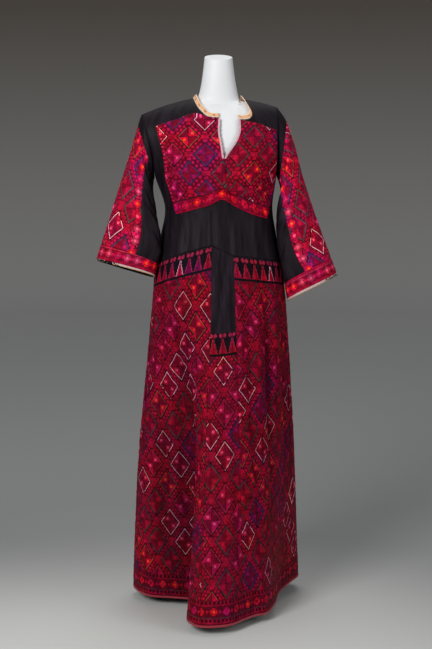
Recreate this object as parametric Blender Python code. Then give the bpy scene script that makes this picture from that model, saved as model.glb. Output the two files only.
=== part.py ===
"""A hand-embroidered Palestinian thobe worn by a limbless dress form.

Units are metres. The front faces -Y, +X is the wearer's left, +Z is up, and the origin is on the base
plate's underside, straight under the middle of the shoulders. The dress is cut from flat pieces. Each
piece is one closed wall of cloth, laid out as a grid on the dress's outer face, and seams leave a
narrow gap between neighbouring walls.

"around" is a place on a level ring of the dress, in degrees: 0 at the centre front, 90 at the wearer's
left side seam, -90 at the right side seam and 180 at the centre back.
"""
from collections import namedtuple
import math

import bmesh
import bpy
import numpy as np

# ---------------------------------------------------------------- cloth sizes
CLOTH_WALL = 0.0016
RIBBON_WALL = 0.0012
SEAM_GAP = 0.0003
NORMAL_STEP = 0.00002
ACROSS_STEP = 0.0004
TURN_STEP = 0.05
PANEL_LIFT = 0.0027

# ---------------------------------------------------------------- heights of the dress
UNDERARM_Z = 1.220
HIP_Z = 0.860
KNEE_Z = 0.450
HEM_Z = 0.024
SKIRT_GUIDE_Z = 0.970

# Level sections of the dress from hip to shoulder: how far each side, the front and the back stand out.
Section = namedtuple("Section", "height right left front back")
SECTIONS = (
    Section(0.800, 0.184, 0.192, 0.150, 0.138),
    Section(0.900, 0.180, 0.184, 0.142, 0.128),
    Section(0.970, 0.174, 0.174, 0.134, 0.118),
    Section(1.050, 0.160, 0.160, 0.122, 0.106),
    Section(1.130, 0.147, 0.148, 0.116, 0.100),
    Section(1.220, 0.174, 0.158, 0.130, 0.112),
    Section(1.290, 0.185, 0.158, 0.130, 0.114),
    Section(1.350, 0.203, 0.159, 0.126, 0.112),
    Section(1.385, 0.210, 0.160, 0.122, 0.110),
)

# The shoulder line falls from the neck points to the armholes.
SHOULDER_Z = 1.428
SHOULDER_START = 0.070
SHOULDER_SLOPE = 0.19
SHOULDER_CURVE = 0.90
ARMHOLE_DEPTH = 0.072

# The edge of the neck opening, front and back.
NeckEdge = namedtuple("NeckEdge", "x height")
NECK_FRONT = (
    NeckEdge(-0.0700, 1.4280),
    NeckEdge(-0.0685, 1.4235),
    NeckEdge(-0.0640, 1.4120),
    NeckEdge(-0.0500, 1.3930),
    NeckEdge(-0.0396, 1.3830),
    NeckEdge(-0.0040, 1.3765),
    NeckEdge(0.0500, 1.3730),
    NeckEdge(0.0650, 1.3715),
    NeckEdge(0.0730, 1.3760),
    NeckEdge(0.0780, 1.3880),
    NeckEdge(0.0808, 1.4050),
    NeckEdge(0.0824, 1.4170),
    NeckEdge(0.0834, 1.4225),
    NeckEdge(0.0840, 1.4251),
)
NECK_BACK = (
    NeckEdge(-0.0700, 1.4280),
    NeckEdge(-0.0675, 1.4235),
    NeckEdge(-0.0600, 1.4140),
    NeckEdge(-0.0350, 1.4030),
    NeckEdge(0.0000, 1.4000),
    NeckEdge(0.0400, 1.4020),
    NeckEdge(0.0720, 1.4120),
    NeckEdge(0.0808, 1.4200),
    NeckEdge(0.0840, 1.4251),
)

# The neck opening is pulled to the wearer's left: how far its left side is moved at each height.
NeckPull = namedtuple("NeckPull", "height shift")
NECK_PULL = (
    NeckPull(1.3000, 0.0000),
    NeckPull(1.3400, 0.0060),
    NeckPull(1.3700, 0.0120),
    NeckPull(1.3830, 0.0110),
    NeckPull(1.3960, 0.0050),
    NeckPull(1.4110, -0.0050),
    NeckPull(1.4251, -0.0140),
)
NECK_PULL_INNER = 0.034
NECK_PULL_OUTER = 0.070

# The slit in the chest: its two edges, from its foot up to the neck.
SlitEdge = namedtuple("SlitEdge", "height right left")
SLIT = (
    SlitEdge(1.2685, 0.0030, 0.0080),
    SlitEdge(1.2850, 0.0010, 0.0190),
    SlitEdge(1.3080, -0.0020, 0.0360),
    SlitEdge(1.3350, -0.0060, 0.0480),
    SlitEdge(1.3720, -0.0040, 0.0500),
)
SLIT_REACH = 0.125

# The bust of a general figure lifts the front a little on each side.
BUST_X = 0.076
BUST_Z = 1.232
BUST_WIDTH = 0.052
BUST_HEIGHT = 0.055
BUST_LIFT = 0.011

# The seam between bodice and skirt. The skirt's centre panel lies between STRIP_RIGHT and STRIP_LEFT.
STRIP_RIGHT = -9.5
STRIP_LEFT = 11.0
SIDE_SEAM = 90.0
BACK_SEAM = 140.0
WaistSeam = namedtuple("WaistSeam", "around height")
WAIST_SEAM = (
    WaistSeam(-180.0, 0.996),
    WaistSeam(-90.0, 0.972),
    WaistSeam(-9.5, 1.036),
    WaistSeam(11.0, 1.008),
    WaistSeam(90.0, 0.978),
    WaistSeam(180.0, 0.996),
)

# Each row is the line of one large fold, crest or valley, where it passes the knee and where it ends at the
# hem, and how much it lifts the hem.
FoldLine = namedtuple("FoldLine", "around knee_x knee_y hem_x hem_y lift")
FOLD_LINES = (
    FoldLine(-163.0, -0.055, 0.205, -0.065, 0.305, 0.000),
    FoldLine(-148.0, -0.085, 0.170, -0.100, 0.245, 0.003),
    FoldLine(-134.0, -0.135, 0.175, -0.165, 0.265, 0.000),
    FoldLine(-120.0, -0.165, 0.130, -0.185, 0.195, 0.004),
    FoldLine(-104.0, -0.212, 0.090, -0.232, 0.160, 0.006),
    FoldLine(-90.0, -0.219, 0.035, -0.236, 0.095, 0.004),
    FoldLine(-76.0, -0.182, -0.015, -0.195, 0.032, 0.000),
    FoldLine(-63.0, -0.128, -0.040, -0.130, 0.010, 0.000),
    FoldLine(-50.0, -0.078, -0.055, -0.058, -0.020, 0.000),
    FoldLine(-34.0, -0.055, -0.100, -0.084, -0.100, 0.000),
    FoldLine(-16.0, -0.068, -0.160, -0.094, -0.220, 0.000),
    FoldLine(-9.5, -0.050, -0.188, -0.068, -0.255, 0.000),
    FoldLine(0.0, 0.005, -0.190, 0.005, -0.252, 0.000),
    FoldLine(11.0, 0.047, -0.178, 0.056, -0.203, 0.000),
    FoldLine(20.0, 0.075, -0.160, 0.090, -0.170, 0.000),
    FoldLine(30.0, 0.105, -0.135, 0.120, -0.155, 0.000),
    FoldLine(46.0, 0.150, -0.075, 0.153, -0.072, 0.000),
    FoldLine(62.0, 0.185, -0.015, 0.178, 0.030, 0.004),
    FoldLine(76.0, 0.212, 0.030, 0.215, 0.095, 0.012),
    FoldLine(90.0, 0.221, 0.085, 0.245, 0.145, 0.018),
    FoldLine(104.0, 0.205, 0.130, 0.238, 0.205, 0.014),
    FoldLine(120.0, 0.160, 0.155, 0.190, 0.225, 0.006),
    FoldLine(134.0, 0.125, 0.190, 0.165, 0.285, 0.000),
    FoldLine(148.0, 0.080, 0.180, 0.100, 0.262, 0.003),
    FoldLine(162.0, 0.045, 0.205, 0.062, 0.315, 0.000),
    FoldLine(178.0, 0.000, 0.185, 0.005, 0.285, 0.002),
)
BINDING_HEIGHT = 0.006
BINDING_WALL = 0.0024

# The skirt's panels, each between two seams, in their order round the dress.
SKIRT_PANELS = (
    ("skirt_front_centre", STRIP_RIGHT, STRIP_LEFT),
    ("skirt_front_left", STRIP_LEFT, SIDE_SEAM),
    ("skirt_back_left", SIDE_SEAM, BACK_SEAM),
    ("skirt_back_centre", BACK_SEAM, 360.0 - BACK_SEAM),
    ("skirt_back_right", 360.0 - BACK_SEAM, 360.0 - SIDE_SEAM),
    ("skirt_front_right", 360.0 - SIDE_SEAM, 360.0 + STRIP_RIGHT),
)

# ---------------------------------------------------------------- sleeves
# Each row is one ring of a sleeve, from armhole (along 0) to cuff (along 1): its outermost and innermost
# points, half its thickness from front to back, and how far forward it hangs.
SleeveRing = namedtuple("SleeveRing", "along outer_x outer_z inner_x inner_z thickness forward")
RIGHT_SLEEVE = (
    SleeveRing(0.00, -0.2100, 1.3900, -0.1740, 1.2200, 0.052, 0.000),
    SleeveRing(0.25, -0.2360, 1.3020, -0.1785, 1.1800, 0.054, 0.004),
    SleeveRing(0.50, -0.2680, 1.2000, -0.1790, 1.1080, 0.055, 0.010),
    SleeveRing(0.75, -0.3030, 1.0920, -0.1810, 1.0180, 0.057, 0.014),
    SleeveRing(1.00, -0.3370, 0.9900, -0.1840, 0.9420, 0.060, 0.018),
)
LEFT_SLEEVE = (
    SleeveRing(0.00, 0.1600, 1.4036, 0.1580, 1.2200, 0.052, 0.000),
    SleeveRing(0.10, 0.1850, 1.3680, 0.1650, 1.2020, 0.053, 0.002),
    SleeveRing(0.25, 0.2060, 1.3060, 0.1720, 1.1700, 0.054, 0.004),
    SleeveRing(0.50, 0.2470, 1.1650, 0.1730, 1.0880, 0.055, 0.010),
    SleeveRing(0.75, 0.2860, 1.0560, 0.1815, 0.9780, 0.057, 0.014),
    SleeveRing(1.00, 0.3280, 0.9450, 0.1920, 0.8720, 0.060, 0.018),
)
CUFF_TILT = 0.007
ARMHOLE_FADE = 0.30
HEAD_END = 0.10
CUFF_START = 0.89
EDGING_START = 0.985
STRIP_TURN = 90.0

# ---------------------------------------------------------------- trims
RIBBON_WIDTH = 0.013
RIBBON_RISE = 0.0098
RIBBON_CLEAR = 0.0014
EDGING_WIDTH = 0.0035

# The chest panel's outline on the bodice.
PanelSide = namedtuple("PanelSide", "height right left")
CHEST_SIDES = (
    PanelSide(1.105, -0.118, 0.127),
    PanelSide(1.160, -0.134, 0.141),
    PanelSide(1.210, -0.147, 0.149),
    PanelSide(1.250, -0.151, 0.152),
    PanelSide(1.355, -0.172, 0.152),
)
PanelEnd = namedtuple("PanelEnd", "x foot top")
CHEST_ENDS = (
    PanelEnd(-0.172, 1.112, 1.354),
    PanelEnd(-0.118, 1.119, 1.371),
    PanelEnd(-0.062, 1.136, 1.387),
    PanelEnd(-0.036, 1.143, 1.379),
    PanelEnd(0.002, 1.160, 1.3745),
    PanelEnd(0.036, 1.142, 1.3725),
    PanelEnd(0.076, 1.122, 1.3640),
    PanelEnd(0.127, 1.105, 1.3500),
    PanelEnd(0.152, 1.100, 1.3430),
)

# ---------------------------------------------------------------- dress form
# Level sections of the form's torso and neck: half its width, and how far front and back stand out.
FormSection = namedtuple("FormSection", "height half_width front back")
FORM = (
    FormSection(0.8000, 0.140, 0.100, 0.094),
    FormSection(0.8080, 0.158, 0.118, 0.110),
    FormSection(0.8800, 0.168, 0.128, 0.115),
    FormSection(0.9700, 0.160, 0.119, 0.104),
    FormSection(1.0500, 0.146, 0.107, 0.093),
    FormSection(1.1300, 0.133, 0.101, 0.087),
    FormSection(1.2000, 0.144, 0.114, 0.097),
    FormSection(1.2600, 0.150, 0.112, 0.100),
    FormSection(1.3200, 0.152, 0.098, 0.092),
    FormSection(1.3600, 0.151, 0.078, 0.076),
    FormSection(1.3850, 0.148, 0.060, 0.060),
    FormSection(1.3980, 0.143, 0.048, 0.050),
    FormSection(1.4086, 0.134, 0.042, 0.044),
    FormSection(1.4122, 0.118, 0.038, 0.042),
    FormSection(1.4166, 0.095, 0.037, 0.041),
    FormSection(1.4206, 0.073, 0.037, 0.041),
    FormSection(1.4265, 0.0625, 0.038, 0.042),
    FormSection(1.4380, 0.0565, 0.039, 0.043),
    FormSection(1.4560, 0.0500, 0.039, 0.045),
    FormSection(1.4850, 0.0440, 0.038, 0.044),
    FormSection(1.5150, 0.0400, 0.036, 0.041),
    FormSection(1.5400, 0.0370, 0.034, 0.038),
)
FORM_NECK_X = 0.056
FORM_CLEAR = 0.0056
FORM_RIDGE = 0.003
FORM_SIDES = 28
NECK_TOP_TILT = 15.0
POLE_X = 0.020
POLE_Y = 0.040
POLE_RADIUS = 0.0125
FLANGE_RADIUS = 0.034
FLANGE_HEIGHT = 0.010
BASE_X = 0.035
BASE_Y = 0.060
BASE_RADIUS = 0.120
BASE_HEIGHT = 0.010
BASE_ROUND = 0.002
SEAT_GAP = 0.0003


# ---------------------------------------------------------------- grid densities
SHOULDER_COLUMNS = 6
WAIST_ROWS = 10
ARMHOLE_ROWS = 10
CHEST_COLUMNS = 10
CHEST_ROWS = 16
CHEST_TURN = 70.0
CHEST_SLIT_ROW = 8
BODICE_SLIT_ROW = WAIST_ROWS + 4
SKIRT_COLUMN = 3.6
SKIRT_ROWS = (0.0, 0.08, 0.17, 0.27, 0.37, 0.47, 0.57, 0.67, 0.77, 0.87, 0.95, 1.0)
SLEEVE_COLUMNS = 2 * ARMHOLE_ROWS
SLEEVE_ROWS = 7
EDGING_ROWS = 8
TURNED_SIDES = 32


# ---------------------------------------------------------------- curves
def column(table, name):
    return np.array([getattr(row, name) for row in table])


def hermite(step, span, start, end, start_slope, end_slope):
    """A cubic from start to end over a span, leaving and arriving at the given slopes."""
    return (
        (1.0 + 2.0 * step) * (1.0 - step) ** 2 * start
        + step ** 2 * (3.0 - 2.0 * step) * end
        + step * (1.0 - step) ** 2 * span * start_slope
        + step ** 2 * (step - 1.0) * span * end_slope
    )


def smooth(keys, values, at):
    """A smooth curve through the values at the keys, held level past both ends."""
    slopes = np.gradient(values, keys)
    place = np.clip(np.searchsorted(keys, at, side="right") - 1, 0, len(keys) - 2)
    span = keys[place + 1] - keys[place]
    step = np.clip((at - keys[place]) / span, 0.0, 1.0)
    return hermite(step, span, values[place], values[place + 1], slopes[place], slopes[place + 1])


def read(table, key, name, at):
    return smooth(column(table, key), column(table, name), at)


# ---------------------------------------------------------------- the outer face of the bodice
def half_width(x, height):
    """How far the dress reaches to the side that x is on."""
    right = read(SECTIONS, "height", "right", height)
    return np.where(x < 0.0, right, read(SECTIONS, "height", "left", height))


def shoulder_line(x):
    past = np.maximum(np.abs(x) - SHOULDER_START, 0.0)
    return SHOULDER_Z - SHOULDER_SLOPE * past - SHOULDER_CURVE * past ** 2


def top_edge(front, x):
    """The height of the upper edge of the front or back at x."""
    neck = NECK_FRONT if front else NECK_BACK
    inside = (x > neck[0].x) & (x < neck[-1].x)
    return np.where(inside, np.interp(x, column(neck, "x"), column(neck, "height")), shoulder_line(x))


def open_slit(x, height):
    """Move a closed front's x aside, so that the slit opens from its foot to the neck."""
    foot = SLIT[0]
    right_shift = read(SLIT, "height", "right", height) - foot.right
    left_shift = read(SLIT, "height", "left", height) - foot.left
    right_share = np.clip(1.0 - (foot.right - x) / SLIT_REACH, 0.0, 1.0)
    left_share = np.clip(1.0 - (x - foot.left) / SLIT_REACH, 0.0, 1.0)
    middle = 0.5 * (foot.right + foot.left)
    return x + np.where(x < middle, right_shift * right_share, left_shift * left_share)


def close_slit(x):
    """Where an x at the neck edge lies while the slit is closed: open_slit turned round."""
    foot, neck = SLIT[0], SLIT[-1]
    right_shift = neck.right - foot.right
    left_shift = neck.left - foot.left
    right = (x - right_shift * (1.0 - foot.right / SLIT_REACH)) / (1.0 + right_shift / SLIT_REACH)
    left = (x - left_shift * (1.0 + foot.left / SLIT_REACH)) / (1.0 - left_shift / SLIT_REACH)
    return np.where(x < 0.5 * (neck.right + neck.left), right, left)


def torso_depth(x, height, facing, front):
    """How far the front or back stands from the plane of the shoulder seams.

    facing is 1 where the cloth faces straight forward or back and 0 at the side seam.
    """
    full = read(SECTIONS, "height", "front" if front else "back", height)
    climb = np.clip((height - UNDERARM_Z) / (shoulder_line(x) - UNDERARM_Z), 0.0, 1.0)
    edge = ARMHOLE_DEPTH * (1.0 - (1.0 - climb) ** 2) ** (0.5 + 2.0 * facing ** 2)
    depth = full * facing + edge * (1.0 - facing) ** 2 * (1.0 + facing)
    if front:
        for side in (-BUST_X, BUST_X):
            away = ((x - side) / BUST_WIDTH) ** 2 + ((height - BUST_Z) / BUST_HEIGHT) ** 2
            depth = depth + BUST_LIFT * np.exp(-away) * facing
    return depth * np.sqrt(1.0 - climb ** 2)


def pulled(x, height):
    """Move x where the neck opening is pulled aside, fading out on both sides of its left edge."""
    away = x - NECK_FRONT[-1].x
    reach = np.where(away < 0.0, NECK_PULL_INNER, NECK_PULL_OUTER)
    share = np.clip(1.0 - np.abs(away) / reach, 0.0, 1.0)
    return x + read(NECK_PULL, "height", "shift", height) * share ** 2 * (3.0 - 2.0 * share)


def torso_point(x, height, front):
    """The outer face of the front or back at x and height."""
    height = np.minimum(height, shoulder_line(x))
    across = np.clip(x / half_width(x, height), -1.0, 1.0)
    depth = torso_depth(x, height, np.sqrt(1.0 - across ** 2), front)
    return np.stack([pulled(x, height), -depth if front else depth, height], axis=-1)


def bodice_x(turn, height, front):
    """The bodice's x by turn, in degrees from the middle of the front or back towards +X."""
    share = np.sin(np.radians(np.clip(turn, -SIDE_SEAM, SIDE_SEAM)))
    x = share * half_width(share, height)
    return open_slit(x, height) if front else x


def bodice_point(turn, height, front):
    return torso_point(bodice_x(turn, height, front), height, front)


# ---------------------------------------------------------------- the outer face of the skirt
def ring_point(around, height):
    """A plain level ring of the dress below the underarm."""
    turn = np.radians(around)
    x = np.sin(turn) * half_width(np.sin(turn), height)
    facing = np.cos(turn)
    front = read(SECTIONS, "height", "front", height)
    back = read(SECTIONS, "height", "back", height)
    return x, -facing * np.where(facing > 0.0, front, back)


def fold_line(name, around):
    """One column of the fold lines, smooth all the way round."""
    keys = column(FOLD_LINES, "around")
    keys = np.concatenate([keys - 360.0, keys, keys + 360.0])
    return smooth(keys, np.tile(column(FOLD_LINES, name), 3), around)


def hem_height(around):
    return HEM_Z + fold_line("lift", around)


def waist_seam(around):
    wrapped = (around + 180.0) % 360.0 - 180.0
    return np.interp(wrapped, column(WAIST_SEAM, "around"), column(WAIST_SEAM, "height"))


def skirt_point(around, height):
    """The skirt's outer face: level rings down to the hip, then folds that open towards the hem."""
    hem_z = hem_height(around)
    upper = np.maximum(height, HIP_Z)
    rings = ring_point(around, upper)
    hips = ring_point(around, np.full_like(upper, HIP_Z))
    guides = ring_point(around, np.full_like(upper, SKIRT_GUIDE_Z))
    knees = fold_line("knee_x", around), fold_line("knee_y", around)
    hems = fold_line("hem_x", around), fold_line("hem_y", around)
    thigh_step = np.clip((height - KNEE_Z) / (HIP_Z - KNEE_Z), 0.0, 1.0)
    shin_step = np.clip((height - hem_z) / (KNEE_Z - hem_z), 0.0, 1.0)
    level = []
    for ring, hip, guide, knee, hem in zip(rings, hips, guides, knees, hems):
        hip_slope = (guide - knee) / (SKIRT_GUIDE_Z - KNEE_Z)
        knee_slope = (hip - hem) / (HIP_Z - hem_z)
        hem_slope = 1.5 * (knee - hem) / (KNEE_Z - hem_z) - 0.5 * knee_slope
        thigh = hermite(thigh_step, HIP_Z - KNEE_Z, knee, hip, knee_slope, hip_slope)
        shin = hermite(shin_step, KNEE_Z - hem_z, hem, knee, hem_slope, knee_slope)
        folded = np.where(height > KNEE_Z, thigh, shin)
        level.append(np.where(height > HIP_Z, ring, folded))
    return np.stack([*level, height], axis=-1)


# ---------------------------------------------------------------- the outer face of a sleeve
def sleeve_point(rings, turn, along):
    """A sleeve's outer face. turn is 0 along its outer line, 90 in front and 180 under the arm."""
    cosine = np.cos(np.radians(turn))
    sine = np.sin(np.radians(turn))

    def tube(at):
        outer = read(rings, "along", "outer_x", at), read(rings, "along", "outer_z", at)
        inner = read(rings, "along", "inner_x", at), read(rings, "along", "inner_z", at)
        x, z = (0.5 * (far + near) + 0.5 * (far - near) * cosine for far, near in zip(outer, inner))
        y = -read(rings, "along", "forward", at) - read(rings, "along", "thickness", at) * sine
        return np.stack([x, y, z + CUFF_TILT * at * sine], axis=-1)

    side = math.copysign(1.0, rings[0].outer_x)
    tip_x = half_width(np.array(side), SHOULDER_Z) * side
    height = UNDERARM_Z + (shoulder_line(tip_x) - UNDERARM_Z) * 0.5 * (1.0 + cosine)
    armhole_x = half_width(np.array(side), height) * side
    front = torso_point(armhole_x, height, True)
    back = torso_point(armhole_x, height, False)
    armhole = np.where((sine >= 0.0)[..., None], front, back)
    fade = np.maximum(1.0 - along / ARMHOLE_FADE, 0.0) ** 2
    return tube(along) + (armhole - tube(np.zeros_like(along))) * fade[..., None]


# ---------------------------------------------------------------- walls of cloth
def face_grid(place, across, along, across_step, outward):
    """The points and outward unit normals of a face at a grid of places, one row for each level."""
    points = place(across, along)
    sideways = place(across + across_step, along) - place(across - across_step, along)
    upwards = place(across, along + NORMAL_STEP) - place(across, along - NORMAL_STEP)
    normals = np.cross(sideways, upwards) * outward
    return points, normals / np.linalg.norm(normals, axis=-1, keepdims=True)


def inward_steps(points, normals):
    """Unit steps in the face, square to the first row of a grid of points and towards the second."""
    steps = np.cross(normals[0], np.gradient(points[0], axis=0))
    steps *= np.sign(np.sum(steps * (points[1] - points[0]), axis=-1, keepdims=True))
    return steps / np.linalg.norm(steps, axis=-1, keepdims=True)


def drawn_in(points, normals, amount):
    """Move the four edges of a grid of points inwards, each square to itself, with mitred corners."""
    steps = np.zeros_like(points)
    for flip in (False, True):
        grids = [grid[::-1] if flip else grid for grid in (steps, points, normals)]
        grids[0][0] += inward_steps(*grids[1:])
        grids = [grid.swapaxes(0, 1) for grid in (steps, points, normals)]
        grids = [grid[::-1] if flip else grid for grid in grids]
        grids[0][0] += inward_steps(*grids[1:])
    for row in (0, -1):
        for place in (0, -1):
            steps[row, place] *= 2.0 / np.sum(steps[row, place] ** 2)
    return points + amount * steps


def cloth_wall(name, face, material, wall=CLOTH_WALL, lift=0.0, slit=None):
    """One closed wall on a face: a grid, drawn in at its seams and given a thickness inwards.

    lift moves the wall out from the face. slit gives the first row and the column of the faces left out.
    """
    points, normals = face
    outer = drawn_in(points, normals, SEAM_GAP / 2) + normals * lift
    inner = outer - normals * wall
    rows, columns = points.shape[:2]
    bm = bmesh.new()
    bmesh.ops.create_grid(bm, x_segments=columns - 1, y_segments=rows - 1, size=1.0)
    in_order = sorted(bm.verts, key=lambda vert: (round(vert.co.y, 4), round(vert.co.x, 4)))
    spot = {vert: divmod(index, columns) for index, vert in enumerate(in_order)}
    if slit:
        first_row, slit_column = slit
        left_out = [
            face for face in bm.faces
            if min(spot[vert][0] for vert in face.verts) >= first_row
            and min(spot[vert][1] for vert in face.verts) == slit_column
        ]
        bmesh.ops.delete(bm, geom=left_out, context="FACES")
    for vert, (row, place) in spot.items():
        vert.co = outer[row, place]
    outer_faces = list(bm.faces)
    grown = bmesh.ops.duplicate(bm, geom=outer_faces)
    twins = grown["vert_map"]
    for vert, (row, place) in spot.items():
        if vert.is_valid and vert in twins:
            twins[vert].co = inner[row, place]
    rims = [edge for edge in bm.edges if edge.is_boundary and edge.verts[0] in spot]
    for edge in rims:
        first, second = edge.verts
        bm.faces.new((first, second, twins[second], twins[first]))
    bmesh.ops.recalc_face_normals(bm, faces=bm.faces)
    return finished(name, bm, material)


def finished(name, bm, material, sharp_angle=40.0):
    mesh = bpy.data.meshes.new(name)
    bm.to_mesh(mesh)
    bm.free()
    mesh.materials.append(material)
    mesh.shade_smooth()
    mesh.set_sharp_from_angle(angle=math.radians(sharp_angle))
    piece = bpy.data.objects.new(name, mesh)
    bpy.context.scene.collection.objects.link(piece)
    return piece


def principled(name, colour, roughness, sheen=0.0):
    made = bpy.data.materials.new(name)
    made.use_nodes = True
    shader = made.node_tree.nodes["Principled BSDF"]
    shader.inputs["Base Color"].default_value = (*colour, 1.0)
    shader.inputs["Roughness"].default_value = roughness
    shader.inputs["Sheen Weight"].default_value = sheen
    made.diffuse_color = (*colour, 1.0)
    return made


# ---------------------------------------------------------------- bodice
def bodice_face(front):
    """Front or back bodice, from the waist seam to the neck edge and shoulder seams."""
    neck_x = column(NECK_FRONT if front else NECK_BACK, "x")
    closed_x = close_slit(neck_x) if front else neck_x
    neck_turns = np.degrees(np.arcsin(closed_x / half_width(closed_x, SHOULDER_Z)))
    if front:
        for seam in (STRIP_RIGHT, STRIP_LEFT):
            neck_turns[np.abs(neck_turns - seam).argmin()] = seam
    right = np.linspace(-SIDE_SEAM, neck_turns[0], SHOULDER_COLUMNS + 1)[:-1]
    left = np.linspace(neck_turns[-1], SIDE_SEAM, SHOULDER_COLUMNS + 1)[1:]
    turns = np.concatenate([right, neck_turns, left])
    seam = waist_seam(turns if front else 180.0 - turns)
    crown = top_edge(front, bodice_x(turns, np.full_like(turns, SHOULDER_Z), front))
    waist = np.linspace(0.0, 1.0, WAIST_ROWS + 1)[:, None]
    climb = 0.5 * (1.0 - np.cos(np.pi * np.arange(1, ARMHOLE_ROWS + 1) / ARMHOLE_ROWS))[:, None]
    heights = np.concatenate([
        seam + (UNDERARM_Z - seam) * waist,
        UNDERARM_Z + (crown - UNDERARM_Z) * climb,
    ])
    turns = np.broadcast_to(turns, heights.shape)

    def place(turn, height):
        return bodice_point(turn, height, front)

    return face_grid(place, turns, heights, TURN_STEP, 1.0 if front else -1.0)


def add_bodice(cotton):
    slit_column = SHOULDER_COLUMNS + [edge.x for edge in NECK_FRONT].index(SLIT[-1].right)
    cloth_wall("bodice_front", bodice_face(True), cotton, slit=(BODICE_SLIT_ROW, slit_column))
    cloth_wall("bodice_back", bodice_face(False), cotton)


def chest_panel_face():
    """The embroidered panel laid on the front, with the slit in its middle."""
    share = np.linspace(0.0, 1.0, CHEST_ROWS + 1)[:, None]
    level = CHEST_SIDES[0].height + (CHEST_SIDES[-1].height - CHEST_SIDES[0].height) * share
    right = read(CHEST_SIDES, "height", "right", level)
    left = read(CHEST_SIDES, "height", "left", level)
    turn = np.linspace(0.0, CHEST_TURN, CHEST_COLUMNS + 1)
    reach = np.sin(np.radians(turn)) / math.sin(math.radians(CHEST_TURN))
    foot = SLIT[0]
    right_half = foot.right + (right - foot.right) * reach[::-1]
    left_half = foot.left + (left - foot.left) * reach
    x = np.concatenate([right_half, left_half], axis=1)
    x = open_slit(x, level)
    low = read(CHEST_ENDS, "x", "foot", x)
    high = read(CHEST_ENDS, "x", "top", x)
    height = low + (high - low) * share

    def place(across_x, at_height):
        return torso_point(across_x, at_height, True)

    return face_grid(place, x, height, ACROSS_STEP, 1.0)


def slit_edging_face(side):
    """A narrow edging on the chest panel, along one side of the slit."""
    heights = np.linspace(SLIT[0].height, SLIT[-1].height, EDGING_ROWS + 1)[:, None]
    edge = read(SLIT, "height", side, heights)
    inner = edge - EDGING_WIDTH if side == "right" else edge + EDGING_WIDTH
    x = np.sort(np.concatenate([edge, inner], axis=1), axis=1)
    heights = np.broadcast_to(heights, x.shape)

    def place(across_x, at_height):
        return torso_point(across_x, at_height, True)

    return face_grid(place, x, heights, ACROSS_STEP, 1.0)


def neck_line():
    """Points along the bodice's neck edge, and the directions away from it in the bodice's face.

    They run from the wearer's right of the slit round the back to the left of the slit.
    """
    right_end = [edge.x for edge in NECK_FRONT].index(SLIT[-1].right)
    left_end = [edge.x for edge in NECK_FRONT].index(SLIT[-1].left)
    route = []
    for front in (True, False):
        points, normals = (grid[::-1] for grid in bodice_face(front))
        away = -inward_steps(points, normals)
        edge = np.stack([points[0], away])[:, SHOULDER_COLUMNS:-SHOULDER_COLUMNS]
        route.append(edge)
    front, back = route
    return np.concatenate([front[:, right_end:0:-1], back, front[:, -2:left_end - 1:-1]], axis=1)


def add_neck_ribbon(silk):
    """A ribbon that stands on the neck edge and leans in towards the neck."""
    edge, away = neck_line()
    centre = np.array([0.5 * (NECK_BACK[0].x + NECK_BACK[-1].x), 0.0, 0.0])
    inwards = (centre - edge) * (1.0, 1.0, 0.0)
    inwards /= np.linalg.norm(inwards, axis=-1, keepdims=True)
    base = edge + away * RIBBON_CLEAR
    top = base + inwards * math.sqrt(RIBBON_WIDTH ** 2 - RIBBON_RISE ** 2) + (0.0, 0.0, RIBBON_RISE)
    corners = np.arange(len(edge))

    def place(along, share):
        low = np.stack([np.interp(along, corners, base[:, axis]) for axis in range(3)], axis=-1)
        high = np.stack([np.interp(along, corners, top[:, axis]) for axis in range(3)], axis=-1)
        return low + (high - low) * share[..., None]

    columns = np.linspace(0.0, len(edge) - 1.0, 2 * len(edge) - 1)
    along, share = np.meshgrid(columns, np.linspace(0.0, 1.0, 3))
    face = face_grid(place, along, share, 0.25, 1.0)
    cloth_wall("neck_ribbon", face, silk, wall=RIBBON_WALL)


# ---------------------------------------------------------------- skirt
def skirt_columns(start, end):
    return np.linspace(start, end, round((end - start) / SKIRT_COLUMN) + 1)


def skirt_face(start, end):
    """A skirt panel between two seams, from the hem to the waist."""
    around = skirt_columns(start, end)
    low = hem_height(around) + BINDING_HEIGHT
    high = waist_seam(around)
    heights = low + (high - low) * np.array(SKIRT_ROWS)[:, None]
    around = np.broadcast_to(around, heights.shape)
    return face_grid(skirt_point, around, heights, TURN_STEP, 1.0)


def add_skirt(embroidered):
    for name, start, end in SKIRT_PANELS:
        cloth_wall(name, skirt_face(start, end), embroidered)


def add_hem_binding(tape):
    """A narrow tape round the hem, sewn into a ring with its seam at the front."""
    columns = [skirt_columns(start, end)[1:] for _, start, end in SKIRT_PANELS]
    around = np.concatenate([[STRIP_RIGHT], *columns])
    low = hem_height(around)
    heights = np.stack([low, low + BINDING_HEIGHT])
    around = np.broadcast_to(around, heights.shape)
    face = face_grid(skirt_point, around, heights, TURN_STEP, 1.0)
    cloth_wall("hem_binding", face, tape, wall=BINDING_WALL, lift=0.5 * (BINDING_WALL - CLOTH_WALL))


# ---------------------------------------------------------------- sleeves
def sleeve_face(rings, start, end, low, high, rows):
    steps = round((end - start) / 360.0 * SLEEVE_COLUMNS)
    turn, along = np.meshgrid(np.linspace(start, end, steps + 1), np.linspace(low, high, rows + 1))

    def place(at_turn, at_along):
        return sleeve_point(rings, at_turn, at_along)

    outward = math.copysign(1.0, rings[0].outer_x)
    return face_grid(place, turn, along, TURN_STEP, outward)


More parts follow.
